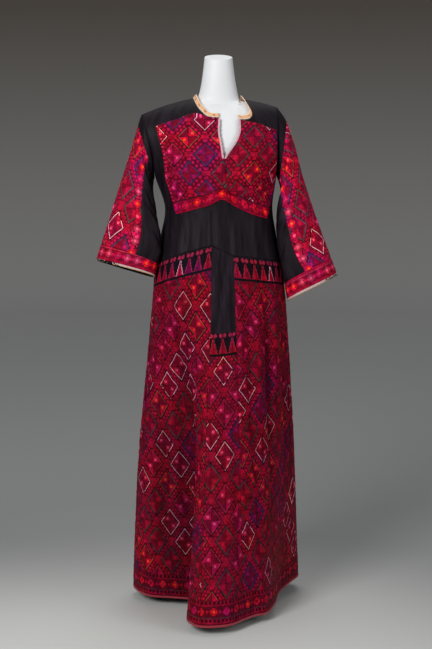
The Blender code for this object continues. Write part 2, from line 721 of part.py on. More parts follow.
def add_sleeve(side, rings, cotton, embroidered, silk):
    """Head, embroidered outer strip, plain under piece, embroidered cuff and ribbon edging."""
    pieces = (
        ("head", cotton, -180.0, 180.0, 0.0, HEAD_END, 2),
        ("strip", embroidered, -STRIP_TURN, STRIP_TURN, HEAD_END, CUFF_START, SLEEVE_ROWS),
        ("under", cotton, STRIP_TURN, 360.0 - STRIP_TURN, HEAD_END, CUFF_START, SLEEVE_ROWS),
        ("cuff", embroidered, -180.0, 180.0, CUFF_START, EDGING_START, 2),
        ("edging", silk, -180.0, 180.0, EDGING_START, 1.0, 1),
    )
    for piece, cloth, start, end, low, high, rows in pieces:
        face = sleeve_face(rings, start, end, low, high, rows)
        cloth_wall(f"sleeve_{side}_{piece}", face, cloth)


# ---------------------------------------------------------------- dress form
def room_under_shoulder(x, height, front):
    """How far the form may stand out at x and height, and stay clear of the bodice's wall."""
    at = np.array([x, height + FORM_CLEAR])
    cloth = torso_point(at[:1], at[1:], front)[0]
    return max(abs(cloth[1]) - FORM_CLEAR, FORM_RIDGE)


def add_torso(skin):
    """Torso and neck in one smooth shell of stacked rings, closed by a flat foot and a tilted flat top."""
    tilt = math.tan(math.radians(NECK_TOP_TILT))
    turns = [2.0 * math.pi * index / FORM_SIDES for index in range(FORM_SIDES)]
    bm = bmesh.new()
    rings = []
    for section in FORM:
        ring = []
        for turn in turns:
            x = section.half_width * math.cos(turn)
            front = math.sin(turn) < 0.0
            y = (section.front if front else section.back) * math.sin(turn)
            if section.height > UNDERARM_Z and abs(x) > FORM_NECK_X:
                y = math.copysign(min(abs(y), room_under_shoulder(x, section.height, front)), y)
            lean = y * tilt if section is FORM[-1] else 0.0
            ring.append(bm.verts.new((x, y, section.height + lean)))
        rings.append(ring)
    for lower, upper in zip(rings, rings[1:]):
        for index in range(FORM_SIDES):
            following = (index + 1) % FORM_SIDES
            bm.faces.new((lower[index], lower[following], upper[following], upper[index]))
    bm.faces.new(rings[0])
    bm.faces.new(rings[-1])
    bmesh.ops.recalc_face_normals(bm, faces=bm.faces)
    return finished("form_torso", bm, skin)


def turned(name, profile, x, y, material):
    """A solid of revolution about an upright axis, from (radius, height) pairs that start and end on it."""
    bm = bmesh.new()
    verts = [bm.verts.new((radius, 0.0, height)) for radius, height in profile]
    edges = [bm.edges.new(pair) for pair in zip(verts, verts[1:])]
    bmesh.ops.spin(
        bm, geom=verts + edges, cent=(0.0, 0.0, 0.0), axis=(0.0, 0.0, 1.0), dvec=(0.0, 0.0, 0.0),
        angle=2.0 * math.pi, steps=TURNED_SIDES, use_merge=True, use_duplicate=False,
    )
    bmesh.ops.remove_doubles(bm, verts=bm.verts, dist=0.00001)
    bmesh.ops.recalc_face_normals(bm, faces=bm.faces)
    bmesh.ops.translate(bm, verts=bm.verts, vec=(x, y, 0.0))
    return finished(name, bm, material)


def add_stand(steel):
    base = (
        (0.0, 0.0),
        (BASE_RADIUS - BASE_ROUND, 0.0),
        (BASE_RADIUS, BASE_ROUND),
        (BASE_RADIUS, BASE_HEIGHT - BASE_ROUND),
        (BASE_RADIUS - BASE_ROUND, BASE_HEIGHT),
        (0.0, BASE_HEIGHT),
    )
    turned("form_base", base, BASE_X, BASE_Y, steel)
    foot = BASE_HEIGHT + SEAT_GAP
    top = FORM[0].height - SEAT_GAP
    pole = (
        (0.0, foot),
        (FLANGE_RADIUS, foot),
        (FLANGE_RADIUS, foot + FLANGE_HEIGHT),
        (POLE_RADIUS, foot + FLANGE_HEIGHT),
        (POLE_RADIUS, top - FLANGE_HEIGHT),
        (FLANGE_RADIUS, top - FLANGE_HEIGHT),
        (FLANGE_RADIUS, top),
        (0.0, top),
    )
    turned("form_pole", pole, POLE_X, POLE_Y, steel)


def main():
    for old in list(bpy.data.objects):
        bpy.data.objects.remove(old)
    cotton = principled("black_cotton_sateen", (0.012, 0.010, 0.013), 0.62, sheen=0.3)
    embroidered = principled("cross_stitched_cotton", (0.240, 0.010, 0.045), 0.70, sheen=0.2)
    silk = principled("striped_silk_ribbon", (0.800, 0.420, 0.180), 0.42)
    edging = principled("pale_silk_edging", (0.780, 0.600, 0.600), 0.50)
    tape = principled("red_cotton_tape", (0.300, 0.012, 0.030), 0.70)
    skin = principled("matt_white_form", (0.780, 0.780, 0.770), 0.55)
    steel = principled("powder_coated_steel", (0.620, 0.620, 0.610), 0.45)
    add_bodice(cotton)
    cloth_wall(
        "chest_panel", chest_panel_face(), embroidered, lift=PANEL_LIFT,
        slit=(CHEST_SLIT_ROW, CHEST_COLUMNS),
    )
    edging_lift = PANEL_LIFT + RIBBON_WALL + 2.0 * SEAM_GAP
    for side in ("right", "left"):
        cloth_wall(f"slit_edging_{side}", slit_edging_face(side), edging, wall=RIBBON_WALL, lift=edging_lift)
    add_neck_ribbon(silk)
    add_skirt(embroidered)
    add_hem_binding(tape)
    add_sleeve("right", RIGHT_SLEEVE, cotton, embroidered, silk)
    add_sleeve("left", LEFT_SLEEVE, cotton, embroidered, silk)
    add_torso(skin)
    add_stand(steel)


main()
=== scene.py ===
# %% [markdown]
# # An embroidered Palestinian thobe on a dress form
#
# A thobe is cut from long straight pieces of cotton. A black bodice carries an embroidered chest panel,
# the skirt's panels are covered in cross stitch, and the sleeves open towards wide cuffs. It could be
# modelled as one skin with painted regions, but then no seam would lie true. So this lesson rebuilds every
# cut piece as its own thin shell of cloth, gives each one a map in real metres, and draws the embroidery
# stitch by stitch with shader nodes that read that map.

from collections import namedtuple
import math

import bmesh
import bpy
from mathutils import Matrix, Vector
import numpy as np


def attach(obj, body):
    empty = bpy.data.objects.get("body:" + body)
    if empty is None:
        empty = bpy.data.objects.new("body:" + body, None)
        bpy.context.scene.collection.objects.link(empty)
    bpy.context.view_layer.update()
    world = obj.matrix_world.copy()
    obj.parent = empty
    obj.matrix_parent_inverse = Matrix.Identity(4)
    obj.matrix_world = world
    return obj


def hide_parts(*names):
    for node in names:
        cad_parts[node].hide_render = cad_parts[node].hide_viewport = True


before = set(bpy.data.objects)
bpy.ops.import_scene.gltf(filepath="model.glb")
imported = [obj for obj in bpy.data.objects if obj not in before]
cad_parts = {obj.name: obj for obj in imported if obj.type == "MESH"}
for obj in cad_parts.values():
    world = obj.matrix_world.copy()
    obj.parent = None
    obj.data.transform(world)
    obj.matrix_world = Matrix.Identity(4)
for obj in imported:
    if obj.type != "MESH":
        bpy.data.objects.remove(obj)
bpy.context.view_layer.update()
print("solids to dress:", len(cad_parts))

# %% [markdown]
# ## Colours
# Embroidery floss is bought by a dyer's card. sRGB hex values are what any colour picker gives, so the
# threads are listed that way, and one function turns them into the linear values that a shader needs.

# %% Thread colours
def linear(hex_colour):
    """A colour that shader sockets can take, from an sRGB hex value."""
    shares = [int(hex_colour[at:at + 2], 16) / 255.0 for at in (1, 3, 5)]
    return tuple(s / 12.92 if s <= 0.04045 else ((s + 0.055) / 1.055) ** 2.4 for s in shares) + (1.0,)


THREAD = {name: linear(value) for name, value in {
    "soot": "#17101a", "shade": "#34041a", "ground": "#5c0620", "wine": "#700626", "garnet": "#920a2c",
    "madder": "#a02846", "crimson": "#ae0834", "scarlet": "#c8102c", "cerise": "#a00a46",
    "magenta": "#b40c58", "plum": "#6c0c44", "navy": "#3a2648", "slate": "#4a3238", "olive": "#8c5030",
    "orange": "#e64a18", "rose": "#de4a70", "blush": "#e8a4b2",
}.items()}
print("thread colours:", ", ".join(THREAD))

# %% [markdown]
# ## Camera
# A wide lens close by would swell the chest and shrink the hem. A long lens from four and a half metres
# keeps the dress's proportions true, with a very small shift to frame it.

# %% Camera
scene = bpy.context.scene
eye = Vector((-0.3069, -4.3893, 1.4000))
aim = Vector((0.0, 0.0, 0.8075))
lens = bpy.data.cameras.new("studio_lens")
lens.sensor_fit = "VERTICAL"
lens.sensor_height = 36.0
lens.lens = 88.9
lens.shift_x = -0.00385
camera = bpy.data.objects.new("studio_camera", lens)
camera.location = eye
camera.rotation_euler = (aim - eye).to_track_quat("-Z", "Y").to_euler()
scene.collection.objects.link(camera)
scene.camera = camera
print("camera distance:", round((aim - eye).length, 2), "m")

# %% [markdown]
# ## Helpers
# A material is a graph of nodes, and a piece is a mesh that has to reach the scene. Both could be written
# out each time, but one function that adds any node, and a few that use it, keep each recipe short.

# %% One function for every node
def add(tree, kind, inputs=(), output=0, stops=(), **settings):
    """Add a node: its kind and operation, its settings, its inputs (values or links, in order or by
    place) and a ramp's stops."""
    kind, _, operation = kind.partition(" ")
    made = tree.nodes.new("ShaderNode" + kind)
    if operation:
        made.operation = operation
    for name, value in settings.items():
        setattr(made, name, value)
    for place, value in inputs.items() if isinstance(inputs, dict) else enumerate(inputs):
        if isinstance(value, bpy.types.NodeSocket):
            tree.links.new(value, made.inputs[place])
        else:
            made.inputs[place].default_value = value
    if stops:
        made.color_ramp.interpolation = "CONSTANT"
        for at, colour in stops[1:]:
            made.color_ramp.elements.new(at).color = colour
        made.color_ramp.elements[0].color = stops[0][1]
        made.color_ramp.elements.remove(made.color_ramp.elements[-1])
    return made.outputs[output]


# Sockets of the Mix node: its factor, and what it mixes.
SHARE, UNDER, OVER = 0, 6, 7
UNDER_VECTOR, OVER_VECTOR = 4, 5
MIXED_VECTOR, MIXED_COLOUR = 1, 2


def new_material(name):
    """An empty node material: its node tree and its shader node."""
    made = bpy.data.materials.new(name)
    made.use_nodes = True
    return made, made.node_tree, made.node_tree.nodes["Principled BSDF"]


def split(tree, vector):
    """A vector's x and y."""
    return tuple(add(tree, "SeparateXYZ", (vector,), output=axis) for axis in (0, 1))


def product(tree, *factors):
    """Masks, waves or numbers multiplied: of masks, 1 where every one is 1."""
    so_far = factors[0]
    for factor in factors[1:]:
        so_far = add(tree, "Math MULTIPLY", (so_far, factor))
    return so_far


def painted(tree, layers):
    """Colours laid over one another: the first is the ground, then pairs of a mask and a colour."""
    colour = layers[0]
    for mask, over in layers[1:]:
        colour = add(
            tree, "Mix", {SHARE: mask, UNDER: colour, OVER: over}, output=MIXED_COLOUR, data_type="RGBA",
        )
    return colour


def finish(tree, shader, colour, height=None, roughness=None, sheen=None):
    """End a material: its colour, its relief in metres, and how rough and how downy it is."""
    tree.links.new(colour, shader.inputs["Base Color"])
    if height is not None:
        tree.links.new(add(tree, "Bump", {0: 1.0, 1: 1.0, "Height": height}), shader.inputs["Normal"])
    if roughness is not None:
        shader.inputs["Roughness"].default_value = roughness
    if sheen is not None:
        shader.inputs["Sheen Weight"].default_value = sheen


def hand_over(bm, name, *materials):
    """Make a finished bmesh a smooth object of the scene, at the origin."""
    mesh = bpy.data.meshes.new(name)
    bm.to_mesh(mesh)
    bm.free()
    for material in materials:
        mesh.materials.append(material)
    mesh.shade_smooth()
    piece = bpy.data.objects.new(name, mesh)
    scene.collection.objects.link(piece)
    return piece


print("materials so far:", len(bpy.data.materials))

# %% [markdown]
# ## Floor and sweep
# A studio hangs wide paper that curves up behind the dress. A floor and a wall would show a corner from
# some sides, so one profile is spun into a dish: every side is seen against the same plain sweep.

# %% Floor and sweep
STAGE_RADIUS = 8.8
STAGE_CORNER = 2.2
STAGE_TOP = 4.8

stage_bm = bmesh.new()
profile = [(0.0, 0.0), (STAGE_RADIUS - STAGE_CORNER, 0.0)]
for step in range(1, 9):
    turn = math.radians(90.0 * step / 8)
    profile.append((
        STAGE_RADIUS - STAGE_CORNER + STAGE_CORNER * math.sin(turn),
        STAGE_CORNER * (1.0 - math.cos(turn)),
    ))
profile.append((STAGE_RADIUS, STAGE_TOP))
stage_verts = [stage_bm.verts.new((radius, 0.0, height)) for radius, height in profile]
stage_edges = [stage_bm.edges.new(pair) for pair in zip(stage_verts, stage_verts[1:])]
bmesh.ops.spin(
    stage_bm, geom=stage_verts + stage_edges, cent=(0, 0, 0), axis=(0, 0, 1), dvec=(0, 0, 0),
    angle=2.0 * math.pi, steps=96, use_merge=True, use_duplicate=False,
)
bmesh.ops.remove_doubles(stage_bm, verts=stage_bm.verts, dist=0.0001)
stage = hand_over(stage_bm, "studio_floor")
print("floor radius:", STAGE_RADIUS, "m")

# %% Matt studio paper
# Coated paper, pressed matt: it gives the eye a soft grey with no glare. Its colour holds painted light: a
# pale pool in front of the dress, paler again far off, and painted shade where the paper climbs. The pool's
# middle is moved to the origin first.
PAINTED_POOL_MIDDLE = (0.25, 0.70, 0.0)
PAINTED_POOL_EDGE = (0.35, 1.6)
paper, paper_tree, paper_shader = new_material("matt_studio_paper")
paper_place = add(paper_tree, "TexCoord", output="Object")
from_pool = add(paper_tree, "VectorMath ADD", (paper_place, PAINTED_POOL_MIDDLE))
from_pool = add(paper_tree, "VectorMath LENGTH", (from_pool,), output=1)
outside_painted_pool = add(
    paper_tree, "MapRange", (from_pool, *PAINTED_POOL_EDGE, 0.0, 1.0), interpolation_type="SMOOTHSTEP",
)
paper_radius = add(paper_tree, "VectorMath LENGTH", (paper_place,), output=1)
paper_far_painted_light = add(paper_tree, "MapRange", (paper_radius, 1.3, 6.4, 0.0, 1.0))
paper_height = add(paper_tree, "SeparateXYZ", (paper_place,), output=2)
paper_climb_painted_shade = add(paper_tree, "MapRange", (paper_height, -0.3, 2.2, 0.0, 1.0))
# Painted light: a pale pool on the floor before the dress and far off, painted shade up the sweep.
paper_colour = painted(paper_tree, (
    linear("#e6e8e4"), (outside_painted_pool, linear("#9c9d9d")), (paper_far_painted_light, linear("#dfdedc")),
    (paper_climb_painted_shade, linear("#827970")),
))
finish(paper_tree, paper_shader, paper_colour, roughness=0.9)
stage.data.materials.append(paper)
print("pool of light ends", PAINTED_POOL_EDGE[1], "m from its middle")

# %% [markdown]
# ## Light
# Small lamps would give every stitch a hard glint. Three large, soft discs stand in for a museum studio's
# diffusers: a key from the left, a weaker fill from the right and one from above and behind.

# %% Soft studio lamps
Lamp = namedtuple("Lamp", "name place aim size power")
LAMPS = (
    Lamp("key_softbox", (-2.1, -3.3, 2.6), (0.0, 0.0, 1.0), 1.7, 124.0),
    Lamp("fill_softbox", (2.9, -2.6, 2.0), (0.0, 0.0, 0.9), 2.2, 36.0),
    Lamp("top_softbox", (0.2, 0.9, 3.6), (0.0, 0.0, 0.7), 2.4, 29.0),
)
for row in LAMPS:
    light = bpy.data.lights.new(row.name, "AREA")
    light.shape = "DISK"
    light.size = row.size
    light.energy = row.power
    lamp = bpy.data.objects.new(row.name, light)
    lamp.location = row.place
    lamp.rotation_euler = (Vector(row.aim) - Vector(row.place)).to_track_quat("-Z", "Y").to_euler()
    lamp.visible_camera = False
    scene.collection.objects.link(lamp)
world = bpy.data.worlds.new("studio_air")
world.use_nodes = True
world.node_tree.nodes["Background"].inputs[0].default_value = (0.9, 0.95, 1.0, 1.0)
world.node_tree.nodes["Background"].inputs[1].default_value = 0.22
scene.world = world
scene.view_settings.view_transform = "Standard"
print("lamps:", len(LAMPS))

# %% [markdown]
# ## The dress as a few measured curves
# A dressmaker measures a garment ring by ring. The dress could be sculpted by eye, but then its halves and
# its panels would never meet. So the tables below hold its measures: level sections from hip to shoulder,
# the neck and the slit, and later the skirt's folds and the rings of both sleeves. A smooth curve through
# each column can be sampled as finely as cloth needs.

# %% Body tables
Section = namedtuple("Section", "height right left front back")
SECTIONS = tuple(Section(*row) for row in (
    (0.8, 0.184, 0.192, 0.15, 0.138), (0.9, 0.18, 0.184, 0.142, 0.128),
    (0.97, 0.174, 0.174, 0.134, 0.118), (1.05, 0.16, 0.16, 0.122, 0.106),
    (1.13, 0.147, 0.148, 0.116, 0.1), (1.22, 0.174, 0.158, 0.13, 0.112),
    (1.29, 0.185, 0.158, 0.13, 0.114), (1.35, 0.203, 0.159, 0.126, 0.112),
    (1.385, 0.21, 0.16, 0.122, 0.11),
))
UNDERARM_Z = 1.220
SHOULDER_Z = 1.428
SHOULDER_START = 0.070
SHOULDER_SLOPE = 0.19
SHOULDER_CURVE = 0.90
ARMHOLE_DEPTH = 0.072
BUST_X = 0.076
BUST_Z = 1.232
BUST_WIDTH = 0.052
BUST_HEIGHT = 0.055
BUST_LIFT = 0.011

NeckEdge = namedtuple("NeckEdge", "x height")
NECK_FRONT = tuple(NeckEdge(*row) for row in (
    (-0.07, 1.428), (-0.0685, 1.4235), (-0.064, 1.412), (-0.05, 1.393), (-0.0396, 1.383),
    (-0.004, 1.3765), (0.05, 1.373), (0.065, 1.3715), (0.073, 1.376), (0.078, 1.388), (0.0808, 1.405),
    (0.0824, 1.417), (0.0834, 1.4225), (0.084, 1.4251),
))
NECK_BACK = tuple(NeckEdge(*row) for row in (
    (-0.07, 1.428), (-0.0675, 1.4235), (-0.06, 1.414), (-0.035, 1.403), (0.0, 1.4), (0.04, 1.402),
    (0.072, 1.412), (0.0808, 1.42), (0.084, 1.4251),
))
NeckPull = namedtuple("NeckPull", "height shift")
NECK_PULL = tuple(NeckPull(*row) for row in (
    (1.3, 0.0), (1.34, 0.006), (1.37, 0.012), (1.383, 0.011), (1.396, 0.005), (1.411, -0.005),
    (1.4251, -0.014),
))
NECK_PULL_INNER = 0.034
NECK_PULL_OUTER = 0.070
SlitEdge = namedtuple("SlitEdge", "height right left")
SLIT = tuple(SlitEdge(*row) for row in (
    (1.2685, 0.003, 0.008), (1.285, 0.001, 0.019), (1.308, -0.002, 0.036), (1.335, -0.006, 0.048),
    (1.372, -0.004, 0.05),
))
SLIT_REACH = 0.125
print("bodice sections:", len(SECTIONS))


# %% Smooth curves through a table
def column(table, name):
    return np.array([getattr(row, name) for row in table])


def hermite(step, span, start, end, start_slope, end_slope):
    """A cubic from start to end over a span, leaving and arriving at the given slopes."""
    return (
        (1.0 + 2.0 * step) * (1.0 - step) ** 2 * start
        + step ** 2 * (3.0 - 2.0 * step) * end
        + step * (1.0 - step) ** 2 * span * start_slope
        + step ** 2 * (step - 1.0) * span * end_slope
    )


def smooth(keys, values, at):
    """A smooth curve through the values at the keys, held level past both ends."""
    slopes = np.gradient(values, keys)
    place = np.clip(np.searchsorted(keys, at, side="right") - 1, 0, len(keys) - 2)
    span = keys[place + 1] - keys[place]
    step = np.clip((at - keys[place]) / span, 0.0, 1.0)
    return hermite(step, span, values[place], values[place + 1], slopes[place], slopes[place + 1])


def wrap(turn):
    """A turn in degrees brought between -180 and 180."""
    return (turn + 180.0) % 360.0 - 180.0


def read(table, key, name, at):
    return smooth(column(table, key), column(table, name), at)


waist_sides = [float(read(SECTIONS, "height", side, 1.13)) for side in ("left", "right")]
print("waist width:", round(sum(waist_sides), 3), "m")

# %% [markdown]
# ## Creases laid one by one
# Worn cotton is never smooth. Noise would wrinkle it evenly, and a simulation would move its seams, so the
# creases are listed: each row of a crease table is one soft trough or ridge between two places on
# the cloth, with its own width and depth in millimetres, and no two are alike.

# %% Creases
Crease = namedtuple("Crease", "across along end_across end_along width depth")
CREASE_DEPTH = 1.5


def creased(table, across, along):
    """How far the cloth stands out, in metres, at a place across and along its piece, also in metres."""
    rise = np.zeros_like(across)
    for row in table:
        run = np.array([row.end_across - row.across, row.end_along - row.along])
        share = ((across - row.across) * run[0] + (along - row.along) * run[1]) / (run @ run)
        held = np.clip(share, 0.0, 1.0)
        away = np.hypot(across - row.across - held * run[0], along - row.along - held * run[1])
        taper = 0.35 + 0.65 * np.sin(np.pi * held)
        rise += 0.001 * CREASE_DEPTH * row.depth * taper * np.exp(-(away / (0.001 * row.width)) ** 2)
    return rise


print("creases are laid", CREASE_DEPTH, "times as deep as their tables say")

# %% Bodice creases
# Across is x and along is height on the bodice. Depth is positive for a ridge.
FRONT_CREASES = tuple(Crease(*row) for row in (
    (-0.07, 0.99, -0.062, 1.125, 7, 2.6), (-0.05, 0.985, -0.047, 1.1, 6, -2.2),
    (-0.034, 1.01, -0.03, 1.13, 6, 2.2), (-0.098, 0.985, -0.09, 1.08, 8, -2.0),
    (-0.118, 0.99, -0.102, 1.11, 8, 2.4), (-0.012, 1.03, -0.014, 1.14, 6, 1.8),
    (0.022, 1.0, 0.02, 1.12, 7, -2.0), (0.04, 0.99, 0.034, 1.1, 7, 2.2),
    (0.07, 0.985, 0.062, 1.095, 8, -1.8), (0.096, 0.985, 0.086, 1.115, 8, 2.6),
    (0.122, 0.99, 0.112, 1.08, 8, -2.0), (-0.15, 1.15, -0.095, 1.165, 9, -2.6),
    (-0.15, 1.19, -0.09, 1.205, 10, 2.4), (0.148, 1.16, 0.1, 1.172, 9, -2.2),
    (0.15, 1.3, 0.12, 1.24, 10, 2.2), (-0.185, 1.33, -0.15, 1.25, 11, -3.0),
    (-0.165, 1.36, -0.13, 1.29, 11, 2.4), (0.01, 1.262, 0.016, 1.205, 6, -2.4),
    (0.0, 1.262, 0.004, 1.19, 6, 2.2), (-0.12, 1.395, -0.09, 1.36, 9, 1.8),
    (0.12, 1.392, 0.098, 1.352, 9, -1.6), (-0.084, 1.105, -0.092, 1.01, 5, -3.0),
    (-0.066, 1.11, -0.07, 1.02, 5, -3.2), (-0.026, 1.12, -0.022, 1.03, 6, -2.6),
    (0.056, 1.095, 0.062, 1.01, 5, -2.6), (0.012, 1.192, 0.034, 1.158, 4, -5.0),
    (0.02, 1.196, 0.04, 1.17, 5, 3.2), (0.006, 1.194, -0.008, 1.176, 4, -3.6),
    (0.01, 1.262, 0.012, 1.205, 4, -2.6),
))
BACK_CREASES = tuple(Crease(*row) for row in (
    (-0.11, 1.0, -0.098, 1.13, 8, 2.4), (-0.08, 1.005, -0.074, 1.11, 7, -2.2),
    (-0.045, 1.0, -0.042, 1.14, 7, 2.0), (-0.012, 1.0, -0.014, 1.1, 7, -2.0),
    (0.028, 1.0, 0.026, 1.135, 7, 2.2), (0.062, 1.0, 0.056, 1.1, 8, -2.2),
    (0.096, 1.0, 0.086, 1.125, 8, 2.4), (-0.14, 1.24, -0.06, 1.29, 14, -3.0),
    (0.135, 1.24, 0.07, 1.3, 13, -2.6), (-0.03, 1.39, -0.02, 1.32, 10, 2.0),
    (0.045, 1.385, 0.03, 1.3, 10, -1.8),
))
print("bodice creases:", len(FRONT_CREASES) + len(BACK_CREASES))

# %% [markdown]
# ## The bodice's surface
# The bodice is flat cloth that a body rounds: level rings up to the underarm, then a front and a back that
# close in to the shoulder seams. One formula for the depth at any x and height keeps both halves and the
# chest panel on one surface. The slit is cut closed and then opened sideways, as in wear.

# %% Edges of the bodice
def half_width(x, height):
    """How far the dress reaches to the side that x is on."""
    right = read(SECTIONS, "height", "right", height)
    return np.where(x < 0.0, right, read(SECTIONS, "height", "left", height))


def shoulder_line(x):
    past = np.maximum(np.abs(x) - SHOULDER_START, 0.0)
    return SHOULDER_Z - SHOULDER_SLOPE * past - SHOULDER_CURVE * past ** 2


def top_edge(front, x):
    """The height of the upper edge of the front or back at x."""
    neck = NECK_FRONT if front else NECK_BACK
    inside = (x > neck[0].x) & (x < neck[-1].x)
    return np.where(inside, read(neck, "x", "height", x), shoulder_line(x))


def open_slit(x, height):
    """Move a closed front's x aside, so that the slit opens from its foot to the neck."""
    foot = SLIT[0]
    right_shift = read(SLIT, "height", "right", height) - foot.right
    left_shift = read(SLIT, "height", "left", height) - foot.left
    right_share = np.clip(1.0 - (foot.right - x) / SLIT_REACH, 0.0, 1.0)
    left_share = np.clip(1.0 - (x - foot.left) / SLIT_REACH, 0.0, 1.0)
    middle = 0.5 * (foot.right + foot.left)
    return x + np.where(x < middle, right_shift * right_share, left_shift * left_share)


def close_slit(x):
    """Where an x at the neck edge lies while the slit is closed: open_slit turned round."""
    foot, neck = SLIT[0], SLIT[-1]
    right_shift = neck.right - foot.right
    left_shift = neck.left - foot.left
    right = (x - right_shift * (1.0 - foot.right / SLIT_REACH)) / (1.0 + right_shift / SLIT_REACH)
    left = (x - left_shift * (1.0 + foot.left / SLIT_REACH)) / (1.0 - left_shift / SLIT_REACH)
    return np.where(x < 0.5 * (neck.right + neck.left), right, left)


print("slit opens to", round(1000 * (SLIT[-1].left - SLIT[-1].right)), "mm")


# %% The bodice's surface
def torso_depth(x, height, facing, front):
    """How far the front or back stands from the plane of the shoulder seams.

    facing is 1 where the cloth faces straight forward or back and 0 at the side seam.
    """
    full = read(SECTIONS, "height", "front" if front else "back", height)
    climb = np.clip((height - UNDERARM_Z) / (shoulder_line(x) - UNDERARM_Z), 0.0, 1.0)
    edge = ARMHOLE_DEPTH * (1.0 - (1.0 - climb) ** 2) ** (0.5 + 2.0 * facing ** 2)
    depth = full * facing + edge * (1.0 - facing) ** 2 * (1.0 + facing)
    if front:
        for side in (-BUST_X, BUST_X):
            away = ((x - side) / BUST_WIDTH) ** 2 + ((height - BUST_Z) / BUST_HEIGHT) ** 2
            depth = depth + BUST_LIFT * np.exp(-away) * facing
    depth = depth + facing * creased(FRONT_CREASES if front else BACK_CREASES, x, height)
    return depth * np.sqrt(1.0 - climb ** 2)


def pulled(x, height):
    """Move x where the neck opening is pulled aside, fading out on both sides of its left edge."""
    away = x - NECK_FRONT[-1].x
    reach = np.where(away < 0.0, NECK_PULL_INNER, NECK_PULL_OUTER)
    share = np.clip(1.0 - np.abs(away) / reach, 0.0, 1.0)
    return x + read(NECK_PULL, "height", "shift", height) * share ** 2 * (3.0 - 2.0 * share)


def torso_point(x, height, front):
    """The outer face of the front or back at x and height."""
    height = np.minimum(height, shoulder_line(x))
    across = np.clip(x / half_width(x, height), -1.0, 1.0)
    depth = torso_depth(x, height, np.sqrt(1.0 - across ** 2), front)
    return np.stack([pulled(x, height), -depth if front else depth, height], axis=-1)


def bodice_x(turn, height, front):
    """The bodice's x by turn, in degrees from the middle of the front or back towards the wearer's left."""
    share = np.sin(np.radians(np.clip(turn, -90.0, 90.0)))
    x = share * half_width(share, height)
    return open_slit(x, height) if front else x


def bodice_point(turn, height, front):
    return torso_point(bodice_x(turn, height, front), height, front)


print("chest stands out:", round(float(-torso_point(np.zeros(1), np.full(1, 1.24), True)[0, 1]), 3), "m")

# %% [markdown]
# ## The skirt's surface
# Below the hip the cloth hangs in large folds. A cone with waves would make them all alike, so each crest
# and valley is its own line from waist to hem, given by where it passes the knee and where it ends at the
# hem. "Around" is the place on a level ring in degrees, 0 at the centre front and 90 at the wearer's left
# side seam.

# %% Skirt tables
HIP_Z = 0.860
KNEE_Z = 0.450
HEM_Z = 0.024
SKIRT_GUIDE_Z = 0.970
STRIP_RIGHT = -9.5
STRIP_LEFT = 11.0
SIDE_SEAM = 90.0
BACK_SEAM = 140.0
BINDING_HEIGHT = 0.006
WaistSeam = namedtuple("WaistSeam", "around height")
WAIST_SEAM = tuple(WaistSeam(*row) for row in (
    (-180.0, 0.996), (-90.0, 0.972), (-9.5, 1.036), (11.0, 1.008), (90.0, 0.978), (180.0, 0.996),
))
FoldLine = namedtuple("FoldLine", "around knee_x knee_y hem_x hem_y lift")
FOLD_LINES = tuple(FoldLine(*row) for row in (
    (-163.0, -0.055, 0.205, -0.065, 0.305, 0.0), (-148.0, -0.085, 0.17, -0.1, 0.245, 0.003),
    (-134.0, -0.135, 0.175, -0.165, 0.265, 0.0), (-120.0, -0.165, 0.13, -0.185, 0.195, 0.004),
    (-104.0, -0.212, 0.09, -0.232, 0.16, 0.006), (-90.0, -0.219, 0.035, -0.236, 0.095, 0.004),
    (-76.0, -0.182, -0.015, -0.195, 0.032, 0.0), (-63.0, -0.128, -0.04, -0.13, 0.01, 0.0),
    (-50.0, -0.078, -0.055, -0.058, -0.02, 0.0), (-34.0, -0.055, -0.1, -0.084, -0.1, 0.0),
    (-16.0, -0.068, -0.16, -0.094, -0.22, 0.0), (-9.5, -0.05, -0.188, -0.068, -0.255, 0.0),
    (0.0, 0.005, -0.19, 0.005, -0.252, 0.0), (11.0, 0.047, -0.178, 0.056, -0.203, 0.0),
    (20.0, 0.075, -0.16, 0.09, -0.17, 0.0), (30.0, 0.105, -0.135, 0.12, -0.155, 0.0),
    (46.0, 0.15, -0.075, 0.153, -0.072, 0.0), (62.0, 0.185, -0.015, 0.178, 0.03, 0.004),
    (76.0, 0.212, 0.03, 0.215, 0.095, 0.012), (90.0, 0.221, 0.085, 0.245, 0.145, 0.018),
    (104.0, 0.205, 0.13, 0.238, 0.205, 0.014), (120.0, 0.16, 0.155, 0.19, 0.225, 0.006),
    (134.0, 0.125, 0.19, 0.165, 0.285, 0.0), (148.0, 0.08, 0.18, 0.1, 0.262, 0.003),
    (162.0, 0.045, 0.205, 0.062, 0.315, 0.0), (178.0, 0.0, 0.185, 0.005, 0.285, 0.002),
))
print("fold lines round the hem:", len(FOLD_LINES))


# %% Skirt surface
def ring_point(around, height):
    """A plain level ring of the dress below the underarm."""
    turn = np.radians(around)
    x = np.sin(turn) * half_width(np.sin(turn), height)
    facing = np.cos(turn)
    front = read(SECTIONS, "height", "front", height)
    back = read(SECTIONS, "height", "back", height)
    return x, -facing * np.where(facing > 0.0, front, back)


def fold_line(name, around):
    """One column of the fold lines, smooth all the way round."""
    keys = column(FOLD_LINES, "around")
    keys = np.concatenate([keys - 360.0, keys, keys + 360.0])
    return smooth(keys, np.tile(column(FOLD_LINES, name), 3), around)


def hem_height(around):
    return HEM_Z + fold_line("lift", around)


def waist_seam(around):
    wrapped = wrap(around)
    return np.interp(wrapped, column(WAIST_SEAM, "around"), column(WAIST_SEAM, "height"))


